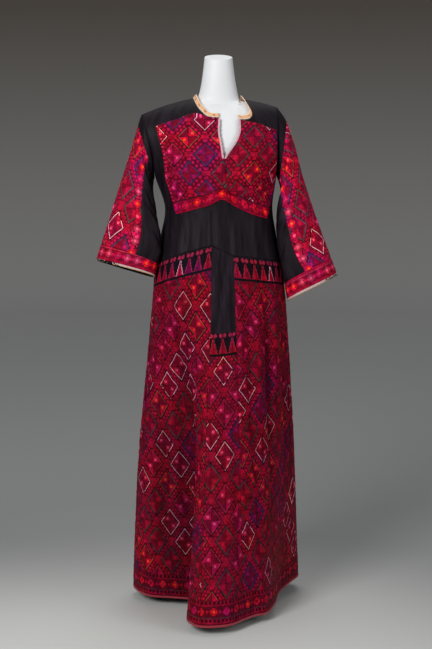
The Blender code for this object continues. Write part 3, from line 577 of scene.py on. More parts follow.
def skirt_point(around, height):
    """The skirt's outer face: level rings down to the hip, then folds that open towards the hem."""
    hem_z = hem_height(around)
    upper = np.maximum(height, HIP_Z)
    rings = ring_point(around, upper)
    hips = ring_point(around, np.full_like(upper, HIP_Z))
    guides = ring_point(around, np.full_like(upper, SKIRT_GUIDE_Z))
    knees = fold_line("knee_x", around), fold_line("knee_y", around)
    hems = fold_line("hem_x", around), fold_line("hem_y", around)
    thigh_step = np.clip((height - KNEE_Z) / (HIP_Z - KNEE_Z), 0.0, 1.0)
    shin_step = np.clip((height - hem_z) / (KNEE_Z - hem_z), 0.0, 1.0)
    level = []
    for ring, hip, guide, knee, hem in zip(rings, hips, guides, knees, hems):
        hip_slope = (guide - knee) / (SKIRT_GUIDE_Z - KNEE_Z)
        knee_slope = (hip - hem) / (HIP_Z - hem_z)
        hem_slope = 1.5 * (knee - hem) / (KNEE_Z - hem_z) - 0.5 * knee_slope
        thigh = hermite(thigh_step, HIP_Z - KNEE_Z, knee, hip, knee_slope, hip_slope)
        shin = hermite(shin_step, KNEE_Z - hem_z, hem, knee, hem_slope, knee_slope)
        folded = np.where(height > KNEE_Z, thigh, shin)
        level.append(np.where(height > HIP_Z, ring, folded))
    return np.stack([*level, height], axis=-1)


print("lowest hem:", round(1000 * float(hem_height(column(FOLD_LINES, "around")).min())), "mm")

# %% Skirt creases
# Across is 3.3 mm for every degree around, along is height.
AROUND_METRE = 0.0033
SKIRT_CREASES = tuple(Crease(*row) for row in (
    (-0.105, 0.93, -0.15, 0.52, 15, -5.0), (-0.235, 0.62, -0.228, 0.15, 17, -4.6),
    (-0.186, 0.6, -0.18, 0.1, 15, -4.2), (0.136, 0.93, 0.142, 0.5, 13, -3.6),
    (0.09, 0.56, 0.086, 0.12, 13, -2.8), (0.238, 0.93, 0.244, 0.26, 15, -4.2),
    (-0.25, 0.96, -0.235, 0.7, 12, 3.4), (-0.215, 0.93, -0.205, 0.76, 9, -3.0),
    (-0.18, 0.94, -0.19, 0.64, 12, 3.0), (-0.15, 0.9, -0.16, 0.56, 10, -3.6),
    (-0.122, 0.88, -0.128, 0.5, 10, 3.2), (-0.096, 0.96, -0.085, 0.7, 8, -2.6),
    (-0.07, 0.86, -0.062, 0.42, 10, 3.0), (-0.045, 0.98, -0.042, 0.78, 7, -2.2),
    (-0.02, 0.76, -0.014, 0.3, 9, 2.4), (0.01, 0.96, 0.004, 0.7, 8, -2.0),
    (0.02, 0.64, 0.026, 0.18, 9, -2.6), (0.05, 0.98, 0.048, 0.62, 8, 2.4),
    (0.072, 0.88, 0.078, 0.42, 9, -3.0), (0.1, 0.96, 0.105, 0.56, 10, 3.2),
    (0.135, 0.82, 0.14, 0.26, 10, -3.2), (0.165, 0.95, 0.172, 0.62, 10, 3.0),
    (0.205, 0.86, 0.212, 0.36, 11, -3.4), (0.24, 0.96, 0.25, 0.54, 11, 3.6),
    (0.285, 0.9, 0.292, 0.48, 11, -3.2), (0.325, 0.96, 0.33, 0.6, 11, 3.2),
    (0.37, 0.92, 0.372, 0.42, 12, -3.6), (0.415, 0.97, 0.412, 0.64, 11, 3.4),
    (0.455, 0.9, 0.46, 0.38, 12, -3.4), (0.5, 0.97, 0.498, 0.56, 12, 3.6),
    (0.545, 0.92, 0.548, 0.46, 11, -3.2), (0.6, 0.96, 0.596, 0.52, 12, 3.4),
    (-0.56, 0.92, -0.556, 0.5, 12, -3.2), (-0.515, 0.97, -0.52, 0.6, 11, 3.4),
    (-0.47, 0.9, -0.468, 0.42, 12, -3.4), (-0.425, 0.96, -0.43, 0.56, 12, 3.2),
    (-0.38, 0.92, -0.376, 0.48, 11, -3.4), (-0.335, 0.97, -0.338, 0.62, 12, 3.4),
    (-0.295, 0.9, -0.29, 0.44, 12, -3.2),
))
print("skirt creases:", len(SKIRT_CREASES))

# %% [markdown]
# ## The sleeves' surface
# Each sleeve is a flat tube that widens from the armhole to the cuff. A bent cylinder would not meet the
# bodice, so each ring is given by its outer and inner place, and near the shoulder the tube fades into
# the armhole. The front of a hanging sleeve lies in against the dress.

# %% Sleeve tables
SleeveRing = namedtuple("SleeveRing", "along outer_x outer_z inner_x inner_z thickness forward")
RIGHT_SLEEVE = tuple(SleeveRing(*row) for row in (
    (0.0, -0.21, 1.39, -0.174, 1.22, 0.052, 0.0), (0.25, -0.236, 1.302, -0.1785, 1.18, 0.054, 0.004),
    (0.5, -0.268, 1.2, -0.1715, 1.108, 0.055, 0.01), (0.75, -0.303, 1.092, -0.1725, 1.018, 0.057, 0.014),
    (1.0, -0.337, 0.99, -0.181, 0.942, 0.06, 0.018),
))
LEFT_SLEEVE = tuple(SleeveRing(*row) for row in (
    (0.0, 0.16, 1.4036, 0.158, 1.22, 0.052, 0.0), (0.1, 0.185, 1.368, 0.165, 1.202, 0.053, 0.002),
    (0.25, 0.206, 1.306, 0.172, 1.17, 0.054, 0.004), (0.5, 0.247, 1.165, 0.163, 1.088, 0.055, 0.01),
    (0.75, 0.286, 1.056, 0.1765, 0.978, 0.057, 0.014), (1.0, 0.328, 0.945, 0.19, 0.872, 0.06, 0.018),
))
CUFF_TILT = 0.007
ARMHOLE_FADE = 0.30
# How far the front leans in, in metres, and the share of it that bulges forward.
SleeveLean = namedtuple("SleeveLean", "along right left")
SLEEVE_LEAN = tuple(SleeveLean(*row) for row in (
    (0.0, 0.0, 0.0), (0.25, 0.0, 0.014), (0.5, 0.016, 0.032), (0.75, 0.046, 0.038), (1.0, 0.026, 0.018),
))
LEAN_FORWARD = 0.40
for rings in (RIGHT_SLEEVE, LEFT_SLEEVE):
    print("cuff width:", round(math.dist(rings[-1][1:3], rings[-1][3:5]), 3), "m")


# %% Sleeve surface
def sleeve_point(rings, turn, along):
    """A sleeve's outer face. turn is 0 along its outer line, 90 in front and 180 under the arm."""
    cosine = np.cos(np.radians(turn))
    sine = np.sin(np.radians(turn))

    side = math.copysign(1.0, rings[0].outer_x)

    def tube(at):
        outer = read(rings, "along", "outer_x", at), read(rings, "along", "outer_z", at)
        inner = read(rings, "along", "inner_x", at), read(rings, "along", "inner_z", at)
        x, z = (0.5 * (far + near) + 0.5 * (far - near) * cosine for far, near in zip(outer, inner))
        lean = read(SLEEVE_LEAN, "along", "left" if side > 0.0 else "right", at)
        lean = lean * np.maximum(sine, 0.0) * 0.5 * (1.0 - cosine)
        x = x - side * lean
        half = read(rings, "along", "thickness", at)
        y = -read(rings, "along", "forward", at) - half * sine - lean * LEAN_FORWARD
        return np.stack([x, y, z + CUFF_TILT * at * sine], axis=-1)

    tip_x = half_width(np.array(side), SHOULDER_Z) * side
    height = UNDERARM_Z + (shoulder_line(tip_x) - UNDERARM_Z) * 0.5 * (1.0 + cosine)
    armhole_x = half_width(np.array(side), height) * side
    front = torso_point(armhole_x, height, True)
    back = torso_point(armhole_x, height, False)
    armhole = np.where((sine >= 0.0)[..., None], front, back)
    fade = np.maximum(1.0 - along / ARMHOLE_FADE, 0.0) ** 2
    return tube(along) + (armhole - tube(np.zeros_like(along))) * fade[..., None]


print("sleeves blend into the armholes over", ARMHOLE_FADE, "of their length")

# %% Sleeve creases
# Across is a millimetre for every degree of turn, along runs from the armhole to the cuff.
TURN_METRE = 0.001
SLEEVE_METRE = 0.42
SLEEVE_CREASES = tuple(Crease(*row) for row in (
    (0.055, 0.04, 0.12, 0.11, 9, -3.0), (0.08, 0.085, 0.15, 0.17, 9, 2.8),
    (0.1, 0.16, 0.165, 0.215, 8, -2.8), (0.085, 0.21, 0.15, 0.275, 9, 2.6),
    (0.11, 0.27, 0.16, 0.33, 9, -2.6), (0.02, 0.1, 0.06, 0.21, 10, 2.2),
    (0.035, 0.24, 0.07, 0.37, 10, -2.4), (-0.01, 0.06, 0.01, 0.18, 11, -2.0),
    (-0.06, 0.05, -0.12, 0.12, 9, -2.8), (-0.085, 0.11, -0.14, 0.19, 9, 2.6),
    (-0.07, 0.2, -0.13, 0.26, 9, -2.6), (-0.09, 0.27, -0.05, 0.38, 10, 2.4),
    (-0.02, 0.25, -0.03, 0.39, 11, -2.2), (0.15, 0.3, 0.12, 0.395, 9, 2.4),
    (-0.165, 0.15, -0.15, 0.3, 9, 2.2),
))
print("sleeve creases:", len(SLEEVE_CREASES))

# %% [markdown]
# ## Cutting a piece of cloth
# A woven piece is a flat grid of threads. It could be unwrapped after modelling, but an unwrap stretches.
# So each piece starts as a flat grid whose points are then laid on the dress, and its maps are measured
# along its own threads, in metres: "cloth" holds the place across and up the piece, and "edges" how far a
# place is below the upper edge and in from the nearest side seam. Near a seam the cloth turns down a
# little, as a sewn edge does, close stitching puckers it, and a Solidify modifier gives the wall.

# %% Points and normals of a grid
SEAM_GAP = 0.0003
NORMAL_STEP = 0.00002
TURN_STEP = 0.05
ACROSS_STEP = 0.0004


def face_grid(place, across, along, across_step, outward):
    """The points and outward unit normals of a face at a grid of places, one row for each level."""
    points = place(across, along)
    sideways = place(across + across_step, along) - place(across - across_step, along)
    upwards = place(across, along + NORMAL_STEP) - place(across, along - NORMAL_STEP)
    normals = np.cross(sideways, upwards) * outward
    return points, normals / np.linalg.norm(normals, axis=-1, keepdims=True)


def seam_spaced(start, end, count, edge):
    """Even places from start to end, with two more near each end, where cloth turns down to its seam."""
    edge = math.copysign(edge, end - start)
    inner = np.linspace(start, end, count + 1)[1:-1]
    first = [start, start + edge, start + 2.5 * edge]
    last = [end - 2.5 * edge, end - edge, end]
    return np.concatenate([first, inner, last])


print("seams stand", 1000 * SEAM_GAP, "mm apart")


# %% Maps and puckers
def cloth_map(points, middle):
    """Metres across from the middle column, up from the foot, down from the top and in from a side."""
    steps_across = np.linalg.norm(np.diff(points, axis=1), axis=-1)
    steps_up = np.linalg.norm(np.diff(points, axis=0), axis=-1)
    run = np.concatenate([np.zeros((len(points), 1)), np.cumsum(steps_across, axis=1)], axis=1)
    climb = np.concatenate([np.zeros((1, points.shape[1])), np.cumsum(steps_up, axis=0)])
    side = np.minimum(run, run[:, -1:] - run)
    return run - run[:, middle:middle + 1], climb, climb[-1:] - climb, side


def level_map(points, across, up, column):
    """Threads that run true to the dress, not to the piece's edges: across from x = 0, up by height."""
    centred = np.array([row - np.interp(0.0, x, row) for x, row in zip(points[..., 0], across)])
    return centred, np.interp(points[..., 2], points[:, column, 2], up[:, column])


PUCKER_MARGIN = 0.012


def puckers(across, up, edge):
    """Small uneven waves, in metres, where close stitching has drawn the cloth in. Seams lie flat."""
    turn = 2.0 * math.pi
    wide = np.sin(turn * (across / 0.037 + 0.35 * np.sin(turn * up / 0.083)))
    wide = wide * np.sin(turn * (up / 0.052 + 0.30 * np.sin(turn * across / 0.097)))
    small = np.sin(turn * (across / 0.023 + 0.40 * np.sin(turn * up / 0.061) + 0.3))
    small = small * np.sin(turn * (up / 0.034 + 0.25 * np.sin(turn * across / 0.071)))
    return (wide + 0.5 * small) * (1.0 - np.exp(-(edge / PUCKER_MARGIN) ** 2))


print("puckers die out over", 1000 * PUCKER_MARGIN, "mm at a seam")

# %% One piece of cloth
CLOTH_WALL = 0.0016
SEAM_DIP = 0.0009
SEAM_SOFTNESS = 0.0030
Cut = namedtuple("Cut", "piece width length area")


def cloth(name, points, normals, materials, middle, shift=(0.0, 0.0), wall=CLOTH_WALL, lift=0.0,
          slit=None, dips=True, level=None, pucker=0.0, hollow=None):
    """One piece of cloth on a grid of points. slit gives the first row and the columns left open. level
    names a column: the threads then run level, and "edges" counts up from the foot. hollow, if given, is
    kept with each point for the material to read."""
    across, up, down, side = cloth_map(points, middle)
    threads_across, threads_up, from_edge = across, up, down
    if level is not None:
        threads_across, threads_up = level_map(points, across, up, level)
        from_edge = up
    seam = np.minimum(side, np.minimum(up, down))
    rise = lift + pucker * puckers(across, up, seam)
    if dips:
        rise = rise - SEAM_DIP * np.exp(-(seam / SEAM_SOFTNESS) ** 2)
    laid = points + normals * rise[..., None]
    rows, columns = across.shape
    bm = bmesh.new()
    bmesh.ops.create_grid(bm, x_segments=columns - 1, y_segments=rows - 1, size=1.0)
    bm.verts.index_update()
    cloth_layer = bm.loops.layers.uv.new("cloth")
    edge_layer = bm.loops.layers.uv.new("edges")
    for vert in bm.verts:
        vert.co = laid[divmod(vert.index, columns)]
    for face in bm.faces:
        for loop in face.loops:
            spot = divmod(loop.vert.index, columns)
            loop[cloth_layer].uv = (threads_across[spot] + shift[0], threads_up[spot] + shift[1])
            loop[edge_layer].uv = (from_edge[spot], side[spot])
    bm.faces.ensure_lookup_table()
    sample = bm.faces[len(bm.faces) // 3]
    sample.normal_update()
    if sample.normal.dot(Vector(normals[divmod(sample.verts[0].index, columns)])) < 0.0:
        bmesh.ops.reverse_faces(bm, faces=bm.faces)
    if slit:
        first_row, first_column, last_column = slit
        left_out = [
            face for face in bm.faces
            if min(vert.index // columns for vert in face.verts) >= first_row
            and first_column <= min(vert.index % columns for vert in face.verts) < last_column
        ]
        bmesh.ops.delete(bm, geom=left_out, context="FACES")
    area = sum(face.calc_area() for face in bm.faces)
    piece = hand_over(bm, name, *materials)
    if hollow is not None:
        piece.data.attributes.new("hollow", "FLOAT", "POINT").data.foreach_set("value", hollow.ravel())
    thickness = piece.modifiers.new("wall", "SOLIDIFY")
    thickness.thickness = wall
    thickness.offset = -1.0
    thickness.material_offset = len(materials) - 1
    cut = Cut(piece, float(across[:, -1].max() - across[:, 0].min()), float(up[-1].max()), float(area))
    print(f"{name}: {cut.width:.3f} by {cut.length:.3f} m, {cut.area:.3f} square metres")
    return cut


print("cloth wall:", 1000 * CLOTH_WALL, "mm")

# %% [markdown]
# ## Black cotton sateen
# The plain parts of the dress are black cotton in a satin weave: deep black, with a soft grey-brown bloom
# where light grazes the floats. A single dark colour would look like rubber. So a fine weave, the product
# of two sine waves, lifts the surface, and slow lighter streaks along the warp paint in both the uneven dye
# of much-washed cloth and the sheen's mottled highlights, a painted sheen. Its threads are 0.3 mm apart,
# too fine to show, so the weave is drawn at 0.9 mm.

# %% Black sateen
WEAVE = 0.0009
SATEEN_RISE = 0.00004
SATEEN_DARK, SATEEN_LIGHT = "#120d11", "#241c24"


def woven(tree, place, rise):
    """The height of a plain grid of threads that stands rise metres out of the cloth."""
    threads = add(tree, "VectorMath MULTIPLY", (place, (2.0 * math.pi / WEAVE,) * 3))
    across, along = split(tree, add(tree, "VectorMath SINE", (threads,)))
    return product(tree, across, along, rise)


def sateen(tree, place):
    """The colour and the height in metres of black sateen at a place on the cloth map."""
    warp = add(tree, "Mapping", {0: place, 3: (60.0, 9.0, 1.0)})
    streaks = add(tree, "TexNoise", {0: warp, 2: 1.0, 3: 3.0, 4: 0.6})
    # Painted sheen: the lighter streaks stand in for mottled sheen highlights as well as uneven dye.
    sheen_and_dye_streaks = add(tree, "MapRange", (streaks, 0.36, 0.68, 0.0, 1.0))
    colour = painted(tree, (linear(SATEEN_DARK), (sheen_and_dye_streaks, linear(SATEEN_LIGHT))))
    return colour, woven(tree, place, SATEEN_RISE)


# Mercerised cotton, satin-woven: it gives the eye a deep black with only a dull, broad shine.
black_sateen, tree, shader = new_material("black_cotton_sateen")
place = add(tree, "UVMap", uv_map="cloth")
finish(tree, shader, *sateen(tree, place), roughness=0.50)
shader.inputs["Specular IOR Level"].default_value = 0.10
print("weave drawn at", WEAVE * 1000, "mm")

# %% [markdown]
# ## Cross stitch
# Counted embroidery is a grid of small crosses. It could be a painted picture, but a picture blurs up
# close. So the shader first finds which stitch a place is in, and every motif is then drawn on whole
# stitches, as on a worker's squared chart. A stitch is just over two millimetres, as on coarse cotton.

# %% The stitch grid
STITCH = (0.00225, 0.002375, 1.0)
ABREAST = 1.0e6


def stitches(tree, place):
    """Which stitch a place is in, counted from the map's origin, and where it is in that stitch."""
    counted = add(tree, "VectorMath DIVIDE", (place, STITCH))
    stitch = add(tree, "VectorMath FLOOR", (counted,))
    inner = add(tree, "VectorMath SUBTRACT", (counted, stitch))
    return stitch, inner


def within(tree, value, low, high):
    """1 where a whole number lies from low to high."""
    middle, reach = 0.5 * (low + high), 0.5 * (high - low) + 0.25
    return add(tree, "Math COMPARE", (value, middle, reach))


print("stitch:", [round(1000 * size, 3) for size in STITCH[:2]], "mm")

# %% [markdown]
# Embroiderers change thread motif by motif. Choosing each by hand would fill a book, so each diamond's
# place gives a white-noise value that picks one row of this card of colourways.

# %% Diamond colour card
DiamondThreads = namedtuple("DiamondThreads", "start outline quarter other dot chain")
DIAMOND_CARD = tuple(DiamondThreads(*row) for row in (
    (0.0, "blush", "garnet", "wine", "rose", "garnet"),
    (0.22, "navy", "plum", "wine", "cerise", "cerise"),
    (0.34, "slate", "garnet", "wine", "crimson", "garnet"),
    (0.68, "olive", "crimson", "wine", "orange", "crimson"),
    (0.82, "madder", "cerise", "wine", "rose", "garnet"),
))
THICK_OUTLINES = (0.45, 0.23)
PALE_WEIGHT, DARK_WEIGHT = 0.038, 0.090


def card_stops(card, name):
    return [(row.start, THREAD[getattr(row, name)]) for row in card]


print("diamond colourways:", len(DIAMOND_CARD))

# %% [markdown]
# ## The lattice of diamonds
# The skirt's ground is a half-drop: columns half a repeat apart. A half-drop is two plain grids, one
# moved by half a repeat, so a place is measured from the nearest middle of each and the nearer one wins.

# %% Nearest diamond
def near_middles(tree, stitch, half):
    """Where a stitch lies from the nearest place of each of the two grids that make a half-drop."""
    half_drop = (*half, 0.0)
    back_drop = (-half[0], -half[1], 0.0)
    first = add(tree, "VectorMath WRAP", (stitch, half_drop, back_drop))
    moved = add(tree, "VectorMath SUBTRACT", (stitch, half_drop))
    second = add(tree, "VectorMath WRAP", (moved, half_drop, back_drop))
    return first, second


def size_of(tree, vector):
    """A vector's absolute x and y."""
    return split(tree, add(tree, "VectorMath ABSOLUTE", (vector,)))


def nearest(tree, middles, reach):
    """Where a stitch lies in its own diamond, and how far out: 1 on the diamond's edge."""
    per_reach = (1.0 / reach[0], 1.0 / reach[1], 0.0)
    outs = []
    for middle in middles:
        size = add(tree, "VectorMath ABSOLUTE", (middle,))
        outs.append(add(tree, "VectorMath DOT_PRODUCT", (size, per_reach), output=1))
    nearer = add(tree, "Math LESS_THAN", (outs[1], outs[0]))
    local = add(
        tree, "Mix", {SHARE: nearer, UNDER_VECTOR: middles[0], OVER_VECTOR: middles[1]},
        output=MIXED_VECTOR, data_type="VECTOR",
    )
    return local, add(tree, "Math MINIMUM", outs)


def chance(tree, stitch, local, seed):
    """A white-noise value that is the same for the whole motif around a stitch."""
    label = add(tree, "VectorMath SUBTRACT", (stitch, local))
    label = add(tree, "VectorMath ADD", (label, (seed + 0.5, 0.5, 0.5)))
    label = add(tree, "VectorMath FLOOR", (label,))
    return add(tree, "TexWhiteNoise", (label,))


print("thread changes:", len(DIAMOND_CARD) - 1)

# %% [markdown]
# Inside, a diamond is parted by a cross into quarters: two opposite ones are lit, each with a dot. Round
# it runs a chain of squares, three stitches each, and a barred block fills the gap between two diamonds
# of a column. Each is a function of its own that gives a colour or a mask.

# %% Parts of a diamond
DOT_AT = (0.36, 0.28)
SQUARE_HALF = 1.25
BLOCK_HALF = (5.5, 2.5)
BLOCK_FROM = 1.19


def quarters(tree, local, reach, swap, fills):
    """The quartered inside of a diamond. fills are the plain, the lit and the dot's colours."""
    x, y = split(tree, local)
    size_x, size_y = size_of(tree, local)
    side = product(tree, x, y)
    leaning = add(tree, "Math GREATER_THAN", (side, 0.0))
    swapped = add(tree, "Math GREATER_THAN", (swap, 0.5))
    lit = add(tree, "Math COMPARE", (leaning, swapped, 0.25))
    cross = add(tree, "Math MINIMUM", (size_x, size_y))
    cross = add(tree, "Math LESS_THAN", (cross, 0.5))
    dot_x = add(tree, "Math COMPARE", (size_x, round(DOT_AT[0] * reach[0]), SQUARE_HALF))
    dot_y = add(tree, "Math COMPARE", (size_y, round(DOT_AT[1] * reach[1]), SQUARE_HALF))
    dotted = product(tree, dot_x, dot_y, lit)
    plain, bright, dot = fills
    return painted(tree, (plain, (lit, bright), (cross, THREAD["ground"]), (dotted, dot)))


def chain(tree, local, reach):
    """The mask of the squares that ring a diamond."""
    size_x, size_y = size_of(tree, local)
    row_out = add(tree, "Math WRAP", (size_y, 2.0, -2.0))
    row = add(tree, "Math SUBTRACT", (size_y, row_out))
    link_slope, link_start = -reach[0] / reach[1], round(4.0 / 3.0 * reach[0])
    link_x = add(tree, "Math MULTIPLY_ADD", (row, link_slope, link_start))
    in_column = add(tree, "Math COMPARE", (size_x, link_x, SQUARE_HALF))
    in_row = add(tree, "Math COMPARE", (row_out, 0.0, SQUARE_HALF))
    return product(tree, in_column, in_row)


def gap_block(tree, middles, out):
    """The masks of the block between two diamonds and of its bars."""
    near = [add(tree, "VectorMath ABSOLUTE", (middle,)) for middle in middles]
    near_x, near_y = split(tree, add(tree, "VectorMath MINIMUM", near))
    block_x = add(tree, "Math LESS_THAN", (near_x, BLOCK_HALF[0]))
    block_y = add(tree, "Math LESS_THAN", (near_y, BLOCK_HALF[1]))
    apart = add(tree, "Math GREATER_THAN", (out, BLOCK_FROM))
    block = product(tree, block_x, block_y, apart)
    bar = add(tree, "Math WRAP", (near_x, 3.0, -3.0))
    bar = add(tree, "Math COMPARE", (bar, 3.0, 0.5))
    return block, product(tree, bar, block)


print("a gap's block is", 2 * BLOCK_HALF[0], "by", 2 * BLOCK_HALF[1], "stitches")

# %% [markdown]
# A straight outline is laid between the stitches, so it is measured inside a stitch too. A pale outline is
# one thin line and a dark one is worked twice. Here and there a stretch has worn away: a slow noise rubs
# it out, because an unbroken line would look printed.

# %% Outlines and the whole lattice
RUB_SCALE = (0.11, 0.11, 0.0)
RUBBED_BELOW = 0.38


def outlines(tree, stitch, inner, local, reach, luck):
    """Masks of the inside of a diamond, of its outline and of the dark ring round it."""
    fine = add(tree, "VectorMath ADD", (local, inner))
    fine = add(tree, "VectorMath SUBTRACT", (fine, (0.5, 0.5, 0.0)))
    fine = add(tree, "VectorMath ABSOLUTE", (fine,))
    per_reach = (1.0 / reach[0], 1.0 / reach[1], 0.0)
    out = add(tree, "VectorMath DOT_PRODUCT", (fine, per_reach), output=1)
    inside = add(tree, "Math LESS_THAN", (out, 1.0))
    thick = add(tree, "Math COMPARE", (luck, *THICK_OUTLINES))
    weight = add(tree, "MapRange", (thick, 0.0, 1.0, PALE_WEIGHT, DARK_WEIGHT))
    outlined = add(tree, "Math COMPARE", (out, 1.0, weight))
    rubbed = add(tree, "VectorMath MULTIPLY", (stitch, RUB_SCALE))
    rubbed = add(tree, "TexNoise", {0: rubbed, 2: 1.0, 3: 1.0, 4: 0.5})
    kept = add(tree, "Math GREATER_THAN", (rubbed, RUBBED_BELOW))
    outlined = product(tree, outlined, kept)
    return inside, outlined, add(tree, "Math COMPARE", (out, 1.03, 0.12))


def lattice(tree, stitch, inner, half, reach, seed):
    """The colour of a half-drop of diamonds. half is half a repeat, reach a diamond's half sizes."""
    middles = near_middles(tree, stitch, half)
    local, out = nearest(tree, middles, reach)
    luck = chance(tree, stitch, local, seed)
    swap = add(tree, "SeparateColor", (luck.node.outputs[1],), output=1)
    outline, quarter, other, dot, link = (
        add(tree, "ValToRGB", (luck,), stops=card_stops(DIAMOND_CARD, name))
        for name in ("outline", "quarter", "other", "dot", "chain")
    )
    inside, outlined, dark_ring = outlines(tree, stitch, inner, local, reach, luck)
    block, bar = gap_block(tree, middles, out)
    return painted(tree, (
        THREAD["ground"],
        (block, THREAD["garnet"]),
        (bar, THREAD["ground"]),
        (chain(tree, local, reach), link),
        (dark_ring, THREAD["shade"]),
        (inside, quarters(tree, local, reach, swap, (other, quarter, dot))),
        (outlined, outline),
    ))


print("outline weights:", PALE_WEIGHT, "and", DARK_WEIGHT)

# %% [markdown]
# Borders are rows counted up from an edge: a row of dark squares, a thin bright line, and a band of round
# rosettes, each in its own thread with its own eye. A rosette could be a copied stamp, but one distance
# from its middle gives petals, eye and spokes at once. The skirt's are warm, the sleeves' are pink.

# %% Rosette cards and rows of rosettes
RosetteThreads = namedtuple("RosetteThreads", "start petal eye")
WARM_CARD = tuple(RosetteThreads(*row) for row in (
    (0.0, "scarlet", "wine"), (0.3, "magenta", "crimson"), (0.5, "scarlet", "orange"),
    (0.62, "scarlet", "madder"), (0.74, "crimson", "madder"),
))
PINK_CARD = tuple(RosetteThreads(*row) for row in (
    (0.0, "madder", "rose"), (0.28, "crimson", "rose"), (0.5, "cerise", "madder"),
    (0.66, "scarlet", "orange"), (0.8, "madder", "rose"),
))


def rosettes(tree, stitch, card, row, pitch, radius, ground, seed):
    """A row of rosettes centred on a row of stitches, a pitch apart, over a ground colour."""
    moved = add(tree, "VectorMath SUBTRACT", (stitch, (0.0, row, 0.0)))
    upper, lower = (0.5 * pitch, ABREAST, 0.0), (-0.5 * pitch, -ABREAST, 0.0)
    local = add(tree, "VectorMath WRAP", (moved, upper, lower))
    out = add(tree, "VectorMath LENGTH", (local,), output=1)
    luck = chance(tree, moved, local, seed)
    petal = add(tree, "ValToRGB", (luck,), stops=card_stops(card, "petal"))
    eye = add(tree, "ValToRGB", (luck,), stops=card_stops(card, "eye"))
    size_x, size_y = size_of(tree, local)
    spoke = add(tree, "Math COMPARE", (size_x, size_y, 0.4))
    round_it = add(tree, "Math LESS_THAN", (out, radius))
    spoke = product(tree, spoke, round_it)
    centre = add(tree, "Math LESS_THAN", (out, 0.36 * radius))
    between = add(tree, "Math GREATER_THAN", (size_x, 0.5 * pitch - 1.4))
    level = add(tree, "Math LESS_THAN", (size_y, 1.5))
    between = product(tree, between, level)
    return painted(tree, (
        ground, (between, THREAD["crimson"]), (round_it, petal), (spoke, THREAD["wine"]), (centre, eye),
    ))


def squares(tree, stitch, pitch, length, ground, over):
    """Upright bars of one colour on another, a pitch apart, for rows of small squares."""
    x = add(tree, "SeparateXYZ", (stitch,), output=0)
    x = add(tree, "Math WRAP", (x, 0.5 * pitch, -0.5 * pitch))
    barred = add(tree, "Math COMPARE", (x, 0.0, 0.5 * length))
    return painted(tree, (ground, (barred, over)))


print("rosette colourways:", len(WARM_CARD) + len(PINK_CARD))

# %% [markdown]
# Under the waist stands a row of cypresses: slim triangles with a pale outline, each topped by a pair of
# round buds, worked straight on the black ground. Each tree is its own pitch of the cloth, and its width is
# read off the count of rows below the top, just as a chart would be.

# %% Cypress row
CYPRESS_PITCH = 12.0
CYPRESS_APEX = 7.0
CYPRESS_FOOT = 23.0
CYPRESS_HALF = 4.6
BUD_ROW = 3.0
BUD_APART = 2.6
BUD_RADIUS = 2.3
CypressThreads = namedtuple("CypressThreads", "start body edge")
CYPRESS_CARD = tuple(CypressThreads(*row) for row in (
    (0.0, "garnet", "madder"), (0.35, "crimson", "blush"), (0.6, "plum", "madder"),
    (0.8, "crimson", "madder"),
))


def cypresses(tree, stitch, rows_down, ground, seed):
    """A row of cypresses over a ground colour, rows_down stitches below where the row begins."""
    x = add(tree, "SeparateXYZ", (stitch,), output=0)
    local = add(tree, "Math WRAP", (x, 0.5 * CYPRESS_PITCH, -0.5 * CYPRESS_PITCH))
    label = add(tree, "Math SUBTRACT", (x, local))
    label = add(tree, "Math ADD", (label, seed + 0.5))
    label = add(tree, "Math FLOOR", (label,))
    luck = add(tree, "TexWhiteNoise", {"W": label}, noise_dimensions="1D")
    body = add(tree, "ValToRGB", (luck,), stops=card_stops(CYPRESS_CARD, "body"))
    edge = add(tree, "ValToRGB", (luck,), stops=card_stops(CYPRESS_CARD, "edge"))
    size_x = add(tree, "Math ABSOLUTE", (local,))
    spread = add(tree, "MapRange", (rows_down, CYPRESS_APEX, CYPRESS_FOOT, 0.4, CYPRESS_HALF))
    within_height = within(tree, rows_down, CYPRESS_APEX, CYPRESS_FOOT)
    margin = add(tree, "Math SUBTRACT", (spread, size_x))
    tree_mask = add(tree, "Math GREATER_THAN", (margin, -0.5))
    tree_mask = product(tree, tree_mask, within_height)
    rim = add(tree, "Math COMPARE", (margin, 0.0, 0.5))
    rim = product(tree, rim, tree_mask)
    trunk = add(tree, "Math LESS_THAN", (size_x, 0.5))
    trunk = product(tree, trunk, tree_mask)
    bud_x = add(tree, "Math SUBTRACT", (size_x, BUD_APART))
    bud_y = add(tree, "Math SUBTRACT", (rows_down, BUD_ROW))
    bud_place = add(tree, "CombineXYZ", (bud_x, bud_y))
    bud_out = add(tree, "VectorMath LENGTH", (bud_place,), output=1)
    buds = add(tree, "Math LESS_THAN", (bud_out, BUD_RADIUS))
    stem = add(tree, "Math LESS_THAN", (size_x, 0.5))
    stem = product(tree, stem, within(tree, rows_down, BUD_ROW, CYPRESS_APEX))
    return painted(tree, (
        ground, (stem, THREAD["wine"]), (buds, THREAD["madder"]), (tree_mask, body),
        (trunk, THREAD["wine"]), (rim, edge),
    ))


print("cypress height:", round((CYPRESS_FOOT - CYPRESS_APEX) * STITCH[1] * 1000), "mm")

# %% [markdown]
# ## Floss
# The thread is matt cotton floss. Flat colours would look printed, so every stitch takes the dye and the
# light a little differently, the dye drifts slowly over a panel, and each cross stands a third of a
# millimetre proud. The eye gets a surface that sparkles softly instead of shining.

# %% Finishing a stitched cloth
STITCH_RISE = 0.00035
PUCKER_RISE = 0.0016
# What two dye baths do to a thread's red, green and blue.
WARM_DYE = (1.10, 0.95, 0.74, 1.0)
COOL_DYE = (0.92, 1.0, 1.24, 1.0)
